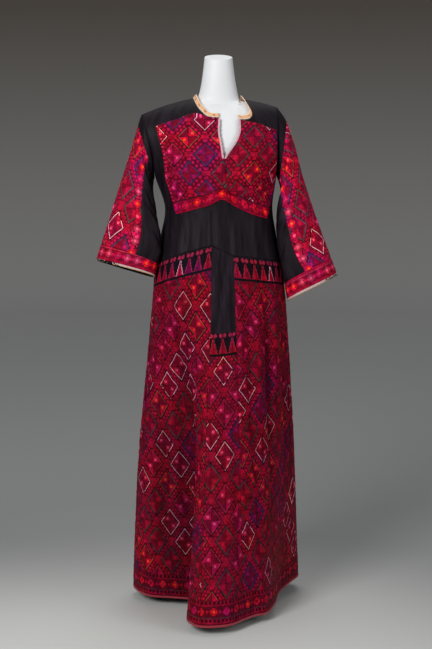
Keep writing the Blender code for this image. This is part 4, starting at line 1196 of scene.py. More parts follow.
# Dye depths: the sleeves have faded to pink and their cuffs lie between chest and sleeve. The skirt is the
# darkest and the chest is fresher, partly in their dye and partly as painted light: the chest is painted
# brighter, as if lit more from above, and the skirt darker, in painted shade.
SKIRT_DYE_AND_SHADE, CHEST_DYE_AND_LIGHT = (0.94, 0.80, 0.78), (1.38, 1.24, 1.20)
SLEEVE_DYE, CUFF_DYE = (1.78, 1.90, 1.66), (1.50, 1.40, 1.30)
HOLLOW_REACH = 0.09
HOLLOW_SHADE = 0.56
FLOSS_ROUGHNESS = (0.50, 0.72)


def finish_stitched(tree, shader, stitch, inner, colour, depth, bare, bare_colour, bare_height):
    """Give stitched colours their floss: uneven dye, crossed threads and puckered ground cloth."""
    luck = add(tree, "TexWhiteNoise", (stitch,))
    worn = add(tree, "MapRange", (luck, 0.0, 1.0, 0.66, 1.30))
    coordinates = add(tree, "TexCoord", output="Object")
    drift = add(tree, "TexNoise", {0: coordinates, 2: 14.0, 3: 2.0, 4: 0.5})
    drifted = add(tree, "MapRange", (drift, 0.36, 0.64, 0.0, 1.0))
    dye = painted(tree, (WARM_DYE, (drifted, COOL_DYE)))
    colour = add(tree, "VectorMath MULTIPLY", (colour, dye))
    # The depth holds the dye and, on the skirt and the chest, painted shade and painted light too.
    colour = add(tree, "VectorMath MULTIPLY", (colour, depth))
    # Painted shade: the cloth deep in the skirt's hollows is painted darker, where little light reaches it.
    hollow = add(tree, "Attribute", output=2, attribute_name="hollow")
    kept = add(
        tree, "MapRange", (hollow, 0.0, HOLLOW_REACH, 1.0, HOLLOW_SHADE), interpolation_type="SMOOTHSTEP",
    )
    colour = add(tree, "VectorMath SCALE", {0: colour, 3: kept})
    mottle = add(tree, "TexNoise", {0: coordinates, 2: 75.0, 3: 3.0, 4: 0.6})
    mottled = add(tree, "MapRange", (mottle, 0.32, 0.68, 0.62, 1.36))
    worn = product(tree, worn, mottled)
    colour = add(tree, "VectorMath SCALE", {0: colour, 3: worn})
    inner_x, inner_y = split(tree, inner)
    rising = add(tree, "Math SUBTRACT", (inner_x, inner_y))
    rising = add(tree, "Math ABSOLUTE", (rising,))
    falling = add(tree, "Math ADD", (inner_x, inner_y))
    falling = add(tree, "Math SUBTRACT", (falling, 1.0))
    falling = add(tree, "Math ABSOLUTE", (falling,))
    strand = add(tree, "Math MINIMUM", (rising, falling))
    crossed = add(tree, "MapRange", (strand, 0.0, 0.5, STITCH_RISE, 0.0))
    pucker = add(tree, "TexNoise", {0: coordinates, 2: 70.0, 3: 1.0, 4: 0.5})
    puckered = product(tree, pucker, PUCKER_RISE)
    raised = add(tree, "Math ADD", (crossed, puckered))
    height = add(tree, "Mix", {0: bare, 2: raised, 3: bare_height}, data_type="FLOAT")
    finish(tree, shader, painted(tree, (colour, (bare, bare_colour))), height)
    roughness = add(tree, "MapRange", (luck, 0.0, 1.0, *FLOSS_ROUGHNESS))
    tree.links.new(roughness, shader.inputs["Roughness"])
    shader.inputs["Specular IOR Level"].default_value = 0.05


print("stitches stand", STITCH_RISE * 1000, "mm proud")

# %% [markdown]
# ## Skirt embroidery
# A skirt panel is stitched from the waist to the hem: cypresses, the lattice, and a border of squares,
# lines and rosettes. The centre front keeps its black cloth above, so one function makes both materials.

# %% Hem border
SKIRT_HALF = (18.0, 24.0)
SKIRT_REACH = (12.0, 16.0)


def hem_border(tree, stitch, row, ground, seed):
    """The rows above the hem: plain red, dark squares, a line, rosettes, a line and dark squares."""
    flowers = rosettes(tree, stitch, WARM_CARD, 17.0, 16.0, 4.4, THREAD["ground"], seed)
    barred = squares(tree, stitch, 5.0, 3.0, THREAD["garnet"], THREAD["shade"])
    return painted(tree, (
        ground,
        (within(tree, row, 0, 29), THREAD["wine"]),
        (within(tree, row, 0, 5), THREAD["garnet"]),
        (within(tree, row, 3, 3), THREAD["ground"]),
        (within(tree, row, 6, 8), barred),
        (within(tree, row, 26, 28), barred),
        (within(tree, row, 11, 23), flowers),
        (within(tree, row, 10, 10), THREAD["slate"]),
        (within(tree, row, 24, 24), THREAD["garnet"]),
    ))


print("skirt repeat:", [round(2000 * h * s) for h, s in zip(SKIRT_HALF, STITCH)], "mm")

# %% Skirt embroidery
STRIP_TOP_ROW = 331.0
# Painted light: the strip's black cloth is painted a little greyer and lighter than the bodice, as if light
# fell on it more fully from the front.
STRIP_PAINTED_LIGHT = 1.45


def skirt_material(name, seed, top_row=None):
    """Skirt cloth: cypresses under the waist, or under black cloth from top_row down, then the lattice."""
    material, tree, shader = new_material(name)
    place = add(tree, "UVMap", uv_map="cloth")
    stitch, inner = stitches(tree, place)
    row = add(tree, "SeparateXYZ", (stitch,), output=1)
    if top_row is None:
        edges = add(tree, "UVMap", uv_map="edges")
        below = add(tree, "SeparateXYZ", (edges,), output=0)
        rows_down = add(tree, "Math DIVIDE", (below, STITCH[1]))
        rows_down = add(tree, "Math FLOOR", (rows_down,))
    else:
        rows_down = add(tree, "Math SUBTRACT", (top_row, row))
    bare_colour, bare_height = sateen(tree, place)
    # Painted light: the bare black cloth is painted lighter than the bodice's sateen.
    bare_colour = add(tree, "VectorMath SCALE", {0: bare_colour, 3: STRIP_PAINTED_LIGHT})
    colour = lattice(tree, stitch, inner, SKIRT_HALF, SKIRT_REACH, seed)
    colour = hem_border(tree, stitch, row, colour, seed)
    standing = cypresses(tree, stitch, rows_down, THREAD["soot"], seed)
    in_row = add(tree, "Math LESS_THAN", (rows_down, CYPRESS_FOOT + 3.5))
    colour = painted(tree, (colour, (in_row, standing)))
    bare = add(tree, "Math LESS_THAN", (rows_down, 0.5))
    finish_stitched(tree, shader, stitch, inner, colour, SKIRT_DYE_AND_SHADE, bare, bare_colour, bare_height)
    return material


# Cotton cross-stitched all over by hand: it gives the eye a dense, dark red shimmer with no shine.
side_stitched = skirt_material("cross_stitched_cotton", 3.0)
# The same, but worked only below: the black cloth above shows dull beside the floss and is painted
# lighter, as painted light.
centre_stitched = skirt_material("cross_stitched_front_cotton", 40.0, STRIP_TOP_ROW)
print("skirt materials:", side_stitched.name, centre_stitched.name)

# %% [markdown]
# ## Chest and sleeve embroidery
# The chest panel's diamonds are squarer and further apart than the skirt's, with a row of round rosettes
# along its foot. Each sleeve has one strip of the skirt's diamonds with flowers along its front seam, and
# each cuff a band of small rosettes. They share one start, which counts stitches from the piece's edges,
# because borders follow seams while the lattice follows the threads.

# %% Stitches counted from the edges
def stitched_start(name):
    """A stitched material's start: the material, its nodes, its stitch, what is in it, and two counts
    of stitches: up from the piece's foot and in from its nearest seam."""
    material, tree, shader = new_material(name)
    place = add(tree, "UVMap", uv_map="cloth")
    edges = add(tree, "UVMap", uv_map="edges")
    stitch, inner = stitches(tree, place)
    edge_stitch, _ = stitches(tree, edges)
    return material, tree, shader, stitch, inner, *split(tree, edge_stitch)


print("edges are counted in stitches of", 1000 * STITCH[0], "mm")

# %% Chest embroidery
# Cotton cross-stitched by hand on the sateen: it gives the eye the brightest, freshest reds of the dress,
# lifted further by painted light.
CHEST_HALF = (20.0, 21.0)
CHEST_REACH = (13.0, 13.0)
chest_stitched, tree, shader, stitch, inner, up, side = stitched_start("cross_stitched_chest_cotton")
across, row = split(tree, stitch)
ground = lattice(tree, stitch, inner, CHEST_HALF, CHEST_REACH, 11.0)
foot_row = rosettes(
    tree, add(tree, "CombineXYZ", (across, up)), WARM_CARD, 7.0, 16.0, 5.0, THREAD["wine"], 5.0,
)
side_row = rosettes(
    tree, add(tree, "CombineXYZ", (row, side)), PINK_CARD, 2.0, 9.0, 2.0, ground, 9.0,
)
right_side = add(tree, "Math LESS_THAN", (across, 0.0))
bordered = product(tree, within(tree, side, 0, 4), right_side)
colour = painted(tree, (
    ground, (bordered, side_row), (within(tree, up, 0, 13), foot_row),
    (within(tree, up, 0, 0), THREAD["crimson"]), (within(tree, up, 14, 14), THREAD["soot"]),
))
finish_stitched(tree, shader, stitch, inner, colour, CHEST_DYE_AND_LIGHT, 0.0, THREAD["soot"], 0.0)
print("chest repeat:", [round(2000 * h * s) for h, s in zip(CHEST_HALF, STITCH)], "mm")

# %% Sleeve and cuff embroidery
# The sleeve's strip is hand-stitched like the skirt and sun-faded: it gives the eye soft pinks.
strip_stitched, tree, shader, stitch, inner, _, side = stitched_start("cross_stitched_sleeve_cotton")
ground = lattice(tree, stitch, inner, SKIRT_HALF, SKIRT_REACH, 23.0)
across, row = split(tree, stitch)
in_front = add(tree, "Math GREATER_THAN", (across, 0.0))
flowers = rosettes(tree, add(tree, "CombineXYZ", (row, side)), PINK_CARD, 5.0, 14.0, 4.4, ground, 17.0)
flowered = product(tree, within(tree, side, 0, 10), in_front)
colour = painted(tree, (ground, (flowered, flowers)))
finish_stitched(tree, shader, stitch, inner, colour, SLEEVE_DYE, 0.0, THREAD["soot"], 0.0)

# The cuff's band is worked in tight rows of wine and garnet: it gives the eye a firm dark end.
cuff_stitched, tree, shader, stitch, inner, _, _ = stitched_start("cross_stitched_cuff_cotton")
_, row = split(tree, stitch)
flowers = rosettes(tree, stitch, PINK_CARD, 8.0, 12.0, 4.2, THREAD["wine"], 31.0)
colour = painted(tree, (
    flowers, (within(tree, row, 0, 2), THREAD["garnet"]), (within(tree, row, 14, 14), THREAD["madder"]),
    (within(tree, row, 15, 30), THREAD["garnet"]),
))
finish_stitched(tree, shader, stitch, inner, colour, CUFF_DYE, 0.0, THREAD["soot"], 0.0)
print("stitched materials:", strip_stitched.name, cuff_stitched.name)

# %% [markdown]
# ## Ribs for the trims
# Silk and cord show fine ribs. Modelling them would take millions of faces, so one sine wave along the
# cloth raises each thread, and on the edging and the cord it also colours them: a painted highlight on
# each crest and painted shade in each trough.

# %% Ribs
RIBBON_PITCH, WRAP_PITCH = 0.0012, 0.0011


def ribs(tree, along, pitch):
    """A wave from -1 to 1 with a crest at every pitch, in metres."""
    turns = product(tree, along, 2.0 * math.pi / pitch)
    return add(tree, "Math SINE", (turns,))


def ribbed_painted_light(tree, wave, dark, light):
    """Painted shade in the troughs of a wave and a painted highlight on its crests: a dark and a light
    colour.
    """
    tone = add(tree, "MapRange", (wave, -1.0, 1.0, 0.0, 1.0))
    return painted(tree, (linear(dark), (tone, linear(light))))


print("ribs:", 1000 * RIBBON_PITCH, "and", 1000 * WRAP_PITCH, "mm apart")

# %% [markdown]
# ## Striped silk ribbon
# The neck is bound with a ribbon woven in lengthwise stripes of cream and apricot, with worn brick-red
# blocks along its middle. A ramp across the width gives the stripes, as the loom's warp does.

# %% Striped silk ribbon
# Reeled silk in a ribbed weave: it gives the eye a warm, soft sheen that brightens at a glancing angle.
RIBBON_STRIPES = (
    (0.00, linear("#f8dcb8")), (0.20, linear("#eca468")), (0.34, linear("#f8c492")),
    (0.62, linear("#e08c50")), (0.78, linear("#fce0b8")),
)
BLOCK_PITCH = 0.028
striped_silk, tree, shader = new_material("striped_silk_ribbon")
place = add(tree, "UVMap", uv_map="cloth")
along, up = split(tree, place)
stripe = add(tree, "MapRange", (up, 0.0, 0.013, 0.0, 1.0))
stripes = add(tree, "ValToRGB", (stripe,), stops=RIBBON_STRIPES)
patch = add(tree, "Math WRAP", (along, BLOCK_PITCH, 0.0))
patch = add(tree, "Math COMPARE", (patch, 0.5 * BLOCK_PITCH, 0.0040))
middle_band = add(tree, "Math COMPARE", (stripe, 0.48, 0.24))
patch = product(tree, patch, middle_band)
rubbed = add(tree, "TexNoise", {0: place, 2: 260.0, 3: 2.0, 4: 0.5})
rubbed = add(tree, "MapRange", (rubbed, 0.35, 0.60, 0.2, 0.9))
patch = product(tree, patch, rubbed)
colour = painted(tree, (stripes, (patch, linear("#b04420"))))
height = product(tree, ribs(tree, along, RIBBON_PITCH), 0.00005)
finish(tree, shader, colour, height, roughness=0.38, sheen=0.3)
print("red blocks every", round(1000 * BLOCK_PITCH), "mm")

# %% [markdown]
# ## Silk edgings
# The slit is edged with pale pink silk wrapped over a cord, and the sleeves end in a narrow edging, pale
# above and gold below. Wrapped thread is told by its turns, so the turns are what is drawn.

# %% Pale silk edging
# Silk wound closely over a cord: each turn gives the eye its own small soft light, a painted highlight on
# its crest with painted shade between the turns.
pale_silk, tree, shader = new_material("pale_silk_edging")
place = add(tree, "UVMap", uv_map="cloth")
wraps = ribs(tree, add(tree, "SeparateXYZ", (place,), output=1), WRAP_PITCH)
# Painted light: each turn's crest is painted pale and the trough between turns painted dark.
colour = ribbed_painted_light(tree, wraps, "#c8869c", "#ecc8cc")
finish(tree, shader, colour, product(tree, wraps, 0.00010), roughness=0.45, sheen=0.3)
print("pale edging:", pale_silk.name)

# %% Gold cuff edging
# Gold-dyed silk twist under a pale silk line, laid flat: it gives the eye a thin bright rim.
PALE_FROM = 0.0034
TWIST_PITCH = 0.006
cuff_silk, tree, shader = new_material("gold_silk_cuff_edging")
twist, up = split(tree, add(tree, "UVMap", uv_map="cloth"))
upper = add(tree, "Math GREATER_THAN", (up, PALE_FROM))
twist = add(tree, "Math WRAP", (twist, TWIST_PITCH, 0.0))
twist = add(tree, "Math COMPARE", (twist, 0.5 * TWIST_PITCH, 0.0016))
gold = painted(tree, (linear("#c88838"), (twist, linear("#e0b468"))))
finish(tree, shader, painted(tree, (gold, (upper, linear("#dcc0c4")))), roughness=0.42, sheen=0.3)
print("gold edging turns every", round(1000 * TWIST_PITCH), "mm")

# %% [markdown]
# ## Red cotton tape
# The hem is closed by a plain-woven tape. The sateen's weave serves again, a little higher, since tape is
# woven of thicker yarn. Its yarn is about half a millimetre, coarsened to 0.9 mm so that it shows.

# %% Red cotton tape
# Madder-red cotton, plain-woven and much rubbed by the floor: it gives the eye a dull, cloudy red.
red_tape, tree, shader = new_material("red_cotton_tape")
place = add(tree, "UVMap", uv_map="cloth")
fade = add(tree, "TexNoise", {0: place, 2: 30.0, 3: 2.0, 4: 0.5})
colour = painted(tree, (linear("#860c24"), (fade, linear("#a81a32"))))
finish(tree, shader, colour, woven(tree, place, 0.00006), roughness=0.66, sheen=0.25)
print("tape:", red_tape.name)

# %% [markdown]
# ## Paint and powder coat
# The limbless form is a moulded shell sprayed with matt paint, and its stand is steel with a baked powder
# coat. A smooth white would look unreal, so both get a coat's faint orange peel and uneven colour.

# %% Matt painted form
# Sprayed emulsion on a moulded shell, rubbed matt: it gives the eye a quiet off-white with no glints.
matt_form, tree, shader = new_material("matt_painted_form")
place = add(tree, "TexCoord", output="Object")
cloudy = add(tree, "TexNoise", {0: place, 2: 9.0, 3: 3.0, 4: 0.5})
orange_peel = add(tree, "TexNoise", {0: place, 2: 700.0, 3: 1.0, 4: 0.5})
colour = painted(tree, (linear("#e4e6e8"), (cloudy, linear("#f2f3f4"))))
finish(tree, shader, colour, product(tree, orange_peel, 0.00005), roughness=0.55)
print("form finish:", matt_form.name)

# %% Powder-coated steel
# Powder baked on a steel tube and plate: it gives the eye a pale grey with a fine, even grain.
coated_steel, tree, shader = new_material("powder_coated_steel")
place = add(tree, "TexCoord", output="Object")
grain = add(tree, "TexNoise", {0: place, 2: 900.0, 3: 1.0, 4: 0.5})
colour = painted(tree, (linear("#c6c8c8"), (grain, linear("#d8dada"))))
finish(tree, shader, colour, product(tree, grain, 0.00008), roughness=0.5)
print("materials:", len(bpy.data.materials))

# %% [markdown]
# ## Bodice
# Front and back bodice are each one black piece from the waist seam to the shoulders. The front is slit
# from the neck to the middle of the chest. The neck and the slit could be cut out with a boolean, but that
# leaves ragged edges. Columns of the grid run along the neck's own points instead, so both edges stay true.

# %% Bodice grid
BODICE_FINE = 5
SHOULDER_COLUMNS = 6
WAIST_ROWS = 10
ARMHOLE_ROWS = 10
BODICE_SLIT_ROW = (WAIST_ROWS + 4) * BODICE_FINE


def bodice_grid(front):
    """Front or back bodice as a grid, from the waist seam to the neck edge and shoulder seams."""
    neck_x = column(NECK_FRONT if front else NECK_BACK, "x")
    closed_x = close_slit(neck_x) if front else neck_x
    neck_turns = np.degrees(np.arcsin(closed_x / half_width(closed_x, SHOULDER_Z)))
    right = np.linspace(-90.0, neck_turns[0], SHOULDER_COLUMNS + 1)[:-1]
    left = np.linspace(neck_turns[-1], 90.0, SHOULDER_COLUMNS + 1)[1:]
    keys = np.concatenate([right, neck_turns, left])
    between = np.linspace(0, len(keys) - 1, (len(keys) - 1) * BODICE_FINE + 1)
    turns = np.interp(between, np.arange(len(keys)), keys)
    seam = waist_seam(turns if front else 180.0 - turns) + 0.5 * SEAM_GAP
    crown = top_edge(front, bodice_x(turns, np.full_like(turns, SHOULDER_Z), front))
    waist = np.linspace(0.0, 1.0, WAIST_ROWS * BODICE_FINE + 1)[:, None]
    steps = ARMHOLE_ROWS * BODICE_FINE
    climb = 0.5 * (1.0 - np.cos(np.pi * np.arange(1, steps + 1) / steps))[:, None]
    lower, upper = seam + (UNDERARM_Z - seam) * waist, UNDERARM_Z + (crown - UNDERARM_Z) * climb
    heights = np.concatenate([lower, upper])
    turns = np.broadcast_to(turns, heights.shape)

    def place(turn, height):
        return bodice_point(turn, height, front)

    return face_grid(place, turns, heights, TURN_STEP, 1.0 if front else -1.0)


print("slit ends", BODICE_SLIT_ROW, "rows above the waist seam")

# %% Bodice pieces
cuts = {}
slit_key = SHOULDER_COLUMNS + [edge.x for edge in NECK_FRONT].index(SLIT[-1].right)
front_points, front_normals = bodice_grid(True)
back_points, back_normals = bodice_grid(False)
cuts["bodice_front"] = cloth(
    "sateen_bodice_front", front_points, front_normals, [black_sateen], slit_key * BODICE_FINE,
    slit=(BODICE_SLIT_ROW, slit_key * BODICE_FINE, (slit_key + 1) * BODICE_FINE),
)
cuts["bodice_back"] = cloth(
    "sateen_bodice_back", back_points, back_normals, [black_sateen], back_points.shape[1] // 2,
)
print("black bodice pieces:", len(cuts))

# %% [markdown]
# ## Chest panel
# The chest panel is a separate embroidered piece laid on the front. It could be a patch of colour on the
# bodice, but as its own piece it stands a cloth's thickness proud and its edge casts a fine shadow.

# %% Chest panel's outline
PanelSide = namedtuple("PanelSide", "height right left")
CHEST_SIDES = tuple(PanelSide(*row) for row in (
    (1.105, -0.118, 0.127), (1.16, -0.134, 0.141), (1.21, -0.147, 0.149), (1.25, -0.151, 0.152),
    (1.355, -0.172, 0.152),
))
PanelEnd = namedtuple("PanelEnd", "x foot top")
CHEST_ENDS = tuple(PanelEnd(*row) for row in (
    (-0.172, 1.112, 1.354), (-0.118, 1.119, 1.371), (-0.062, 1.136, 1.387), (-0.036, 1.143, 1.379),
    (0.002, 1.16, 1.3745), (0.036, 1.142, 1.3725), (0.076, 1.122, 1.364), (0.127, 1.105, 1.35),
    (0.152, 1.1, 1.343),
))
print("chest panel:", round(1000 * (CHEST_SIDES[-1].height - CHEST_SIDES[0].height)), "mm tall")

# %% Chest panel
CHEST_TURN = 70.0
CHEST_COLUMNS = 44
CHEST_ROWS = 80
PANEL_LIFT = 0.0027


def on_front(x, height):
    return torso_point(x, height, True)


def chest_grid():
    """The embroidered panel as a grid, with the slit between its two middle columns."""
    share = np.linspace(0.0, 1.0, CHEST_ROWS + 1)[:, None]
    level = CHEST_SIDES[0].height + (CHEST_SIDES[-1].height - CHEST_SIDES[0].height) * share
    right = read(CHEST_SIDES, "height", "right", level)
    left = read(CHEST_SIDES, "height", "left", level)
    reach = np.sin(np.radians(seam_spaced(0.0, CHEST_TURN, CHEST_COLUMNS, 0.4)))
    reach /= math.sin(math.radians(CHEST_TURN))
    foot = SLIT[0]
    right_half = foot.right + (right - foot.right) * reach[::-1]
    left_half = foot.left + (left - foot.left) * reach
    closed = np.concatenate([right_half, left_half], axis=1)
    low = read(CHEST_ENDS, "x", "foot", closed)
    high = read(CHEST_ENDS, "x", "top", closed)
    for _ in range(3):
        x = open_slit(closed, low + (high - low) * share)
        low = read(CHEST_ENDS, "x", "foot", x)
        high = read(CHEST_ENDS, "x", "top", x)
    return face_grid(on_front, x, low + (high - low) * share, ACROSS_STEP, 1.0)


chest_points, chest_normals = chest_grid()
chest_middle = chest_points.shape[1] // 2
cuts["chest_panel"] = cloth(
    "stitched_chest_panel", chest_points, chest_normals, [chest_stitched, black_sateen], chest_middle,
    lift=PANEL_LIFT, slit=(CHEST_ROWS // 2, chest_middle - 1, chest_middle), level=chest_middle // 2,
    pucker=0.0005,
)

# %% [markdown]
# ## Slit edging
# Buttonhole stitch over a cord leaves soft scallops. A plain strip would look like piping, so the inner
# line of each slit edging swells and narrows every twelve millimetres.

# %% Scalloped slit edging
EDGING_WIDTH = 0.0026
EDGING_OVERHANG = 0.0016
SCALLOP = 0.0118
SCALLOP_DEPTH = 0.0026
SCALLOP_SHARE = 0.6
EDGING_ROWS = 260


def slit_edging(side):
    """A scalloped edging on the chest panel, along one side of the slit."""
    heights = np.linspace(SLIT[0].height, SLIT[-1].height, EDGING_ROWS + 1)[:, None]
    edge = read(SLIT, "height", side, heights)
    swell = SCALLOP_DEPTH * np.abs(np.sin(np.pi * (heights - SLIT[0].height) / SCALLOP))
    away = -1.0 if side == "right" else 1.0
    shares = np.linspace(0.0, 1.0, 7)
    inner = EDGING_OVERHANG + SCALLOP_SHARE * swell
    x = np.sort(edge + away * (shares * (EDGING_WIDTH + inner) - inner), axis=1)
    return face_grid(on_front, x, np.broadcast_to(heights, x.shape), ACROSS_STEP, 1.0)


print("scallops:", round((SLIT[-1].height - SLIT[0].height) / SCALLOP))

# %% Both slit edgings
EDGING_LIFT = 0.0038
EDGING_WALL = 0.0010
for side in ("right", "left"):
    points, normals = slit_edging(side)
    cuts[f"slit_edging_{side}"] = cloth(
        f"silk_slit_edging_{side}", points, normals, [pale_silk], 0, wall=EDGING_WALL, lift=EDGING_LIFT,
        dips=False,
    )

# %% [markdown]
# ## Thread knot
# A small knot of corded black cotton on the front holds the panel's fold together. A real knot is a tangle
# of loops, but at its size a squashed sphere with its turns drawn as fine ridges is enough.

# %% Corded cotton
# Black cotton cord, tightly twisted and knotted: it gives the eye a grey-black ball with fine turns, each
# with a painted highlight on its crest and painted shade between.
CORD_PITCH = 0.0012
corded_cotton, tree, shader = new_material("corded_cotton_thread")
coordinates = add(tree, "TexCoord", output="Object")
turns = add(tree, "VectorMath DOT_PRODUCT", (coordinates, (0.6, 0.0, 1.0)), output=1)
turns = ribs(tree, turns, CORD_PITCH)
# Painted light: each turn's crest is painted lighter grey and the trough between turns darker.
colour = ribbed_painted_light(tree, turns, "#1c2224", "#4a5654")
finish(tree, shader, colour, product(tree, turns, 0.0002), roughness=0.7)
print("cord turns every", 1000 * CORD_PITCH, "mm")

# %% Thread knot
KNOT_PLACE = (0.0097, 1.1960)
KNOT_RADIUS = 0.0046
knot_bm = bmesh.new()
bmesh.ops.create_uvsphere(knot_bm, u_segments=24, v_segments=16, radius=KNOT_RADIUS)
bmesh.ops.scale(knot_bm, vec=(1.0, 0.7, 1.2), verts=knot_bm.verts)
knot_spot = Vector(on_front(*(np.array([value]) for value in KNOT_PLACE))[0])
knot_spot = knot_spot - Vector((0.0, PANEL_LIFT, 0.0))
bmesh.ops.translate(knot_bm, vec=knot_spot, verts=knot_bm.verts)
knot = hand_over(knot_bm, "corded_front_knot", corded_cotton)
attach(knot, "root")
print("knot width:", round(2000 * KNOT_RADIUS, 1), "mm")

# %% [markdown]
# ## Neck ribbon
# The ribbon stands up round the neck from one side of the slit to the other, leaning in on the form. A
# curve with a flat profile would twist at its corners, so the ribbon is a grid too: it starts on the neck's
# own points, a hair away from the cloth, and each point has its own lean.

# %% Line of the neck
RIBBON_WIDTH = 0.013
RIBBON_RISE = 0.0098
RIBBON_CLEAR = 0.0014
RIBBON_WALL = 0.0012
RIBBON_BULGE = 0.0009


def inward_steps(points, normals):
    """Unit steps in the face, square to the first row of a grid of points and towards the second."""
    steps = np.cross(normals[0], np.gradient(points[0], axis=0))
    steps *= np.sign(np.sum(steps * (points[1] - points[0]), axis=-1, keepdims=True))
    return steps / np.linalg.norm(steps, axis=-1, keepdims=True)


def neck_line():
    """Points along the neck edge and the directions away from it, from the slit's right to its left."""
    key_x = [edge.x for edge in NECK_FRONT]
    right_end = key_x.index(SLIT[-1].right) * BODICE_FINE
    left_end = key_x.index(SLIT[-1].left) * BODICE_FINE
    skipped = SHOULDER_COLUMNS * BODICE_FINE
    route = []
    for points, normals in ((front_points, front_normals), (back_points, back_normals)):
        away = -inward_steps(points[::-1], normals[::-1])
        route.append(np.stack([points[-1], away])[:, skipped:-skipped])
    front, back = route
    return np.concatenate([front[:, right_end:0:-1], back, front[:, -2:left_end - 1:-1]], axis=1)


neck_edge, neck_away = neck_line()
print("points round the neck:", len(neck_edge))

# %% Neck ribbon
neck_centre = np.array([0.5 * (NECK_BACK[0].x + NECK_BACK[-1].x), 0.0, 0.0])
neck_in = (neck_centre - neck_edge) * (1.0, 1.0, 0.0)
neck_in /= np.linalg.norm(neck_in, axis=-1, keepdims=True)
ribbon_low = neck_edge + neck_away * RIBBON_CLEAR
ribbon_lean = neck_in * math.sqrt(RIBBON_WIDTH ** 2 - RIBBON_RISE ** 2) + (0.0, 0.0, RIBBON_RISE)


def ribbon_point(along, share):
    """A place on the ribbon: along counts the neck's points, share runs from its foot to its top."""
    corners = np.arange(len(ribbon_low))
    low, lean, inwards = (
        np.stack([np.interp(along, corners, line[:, axis]) for axis in range(3)], axis=-1)
        for line in (ribbon_low, ribbon_lean, neck_in)
    )
    bulge = RIBBON_BULGE * np.sin(np.pi * np.clip(share, 0.0, 1.0))[..., None]
    return low + lean * share[..., None] - inwards * bulge


ribbon_along, ribbon_share = np.meshgrid(np.arange(len(ribbon_low), dtype=float), np.linspace(0.0, 1.0, 9))
points, normals = face_grid(ribbon_point, ribbon_along, ribbon_share, 0.25, 1.0)
cuts["neck_ribbon"] = cloth(
    "silk_neck_ribbon", points, normals, [striped_silk], 0, wall=RIBBON_WALL, dips=False,
)

# %% [markdown]
# ## Skirt
# Six panels hang from the waist seam: a narrow centre front, two wide fronts, and three at the back. One
# tube would be simpler, but each real panel starts its own count of stitches, which is why the diamonds
# break at every seam. So each panel is its own grid on the skirt's surface, with its own shift of the map.

# %% Skirt panels' seams
SkirtPanel = namedtuple("SkirtPanel", "node start end middle across up")
SKIRT_PANELS = tuple(SkirtPanel(*row) for row in (
    ("skirt_front_centre", STRIP_RIGHT, STRIP_LEFT, 0.0, 0.0, 0.0),
    ("skirt_front_left", STRIP_LEFT, SIDE_SEAM, 50.0, 1.62, 0.0),
    ("skirt_back_left", SIDE_SEAM, BACK_SEAM, 115.0, 3.24, 0.0),
    ("skirt_back_centre", BACK_SEAM, 360.0 - BACK_SEAM, 180.0, 4.86, 0.0),
    ("skirt_back_right", 360.0 - BACK_SEAM, 360.0 - SIDE_SEAM, 245.0, 6.48, 0.0),
    ("skirt_front_right", 360.0 - SIDE_SEAM, 360.0 + STRIP_RIGHT, 310.0, 8.10, 0.0),
))
SKIRT_COLUMN = 1.0
SKIRT_ROWS = 130
AROUND_GAP = 0.04


def skirt_grid(low, high, around):
    """The skirt's face between two heights, with its creases laid in."""
    shares = seam_spaced(0.0, 1.0, SKIRT_ROWS, 0.0011)[:, None]
    heights = low + (high - low) * shares
    around = np.broadcast_to(around, heights.shape)
    points, normals = face_grid(skirt_point, around, heights, TURN_STEP, 1.0)
    wrapped = wrap(around)
    rise = creased(SKIRT_CREASES, wrapped * AROUND_METRE, heights)
    return points + normals * rise[..., None], normals, rise


print("skirt panels:", len(SKIRT_PANELS))

# %% [markdown]
# ## Hollows of the skirt
# Little light reaches deep folds, so the cloth there is painted darker, a painted shade. Baked shading
# would need a picture, so each point of the cloth carries one number instead: how deep it lies inside a
# band drawn tight round its level.

# %% Table of hollows
HOLLOW_AROUND = np.arange(-180.0, 181.0, 2.0)
HOLLOW_HEIGHTS = np.linspace(HEM_Z, HIP_Z + 0.1, 24)
HOLLOW_TURNS = np.radians(np.arange(0.0, 360.0, 5.0))
TROUGH_SHADE = 11.0
around, heights = np.meshgrid(HOLLOW_AROUND, HOLLOW_HEIGHTS)
rings = skirt_point(around, heights)
reaches = rings[..., :1] * np.cos(HOLLOW_TURNS) + rings[..., 1:2] * np.sin(HOLLOW_TURNS)
hollows = (reaches.max(axis=1, keepdims=True) - reaches).min(axis=-1)


def hollow_at(around, heights):
    """Read the table of hollows at a grid of places."""
    level = np.interp(heights, HOLLOW_HEIGHTS, np.arange(len(HOLLOW_HEIGHTS)))
    low = np.minimum(level.astype(int), len(HOLLOW_HEIGHTS) - 2)
    wrapped = wrap(around)
    place = (wrapped + 180.0) / 2.0
    first = np.minimum(place.astype(int), len(HOLLOW_AROUND) - 2)

    def along_row(row):
        return hollows[row, first] + (hollows[row, first + 1] - hollows[row, first]) * (place - first)

    lower, upper = along_row(low), along_row(low + 1)
    return lower + (upper - lower) * (level - low)


print("deepest hollow:", round(float(hollows.max()), 3), "m")

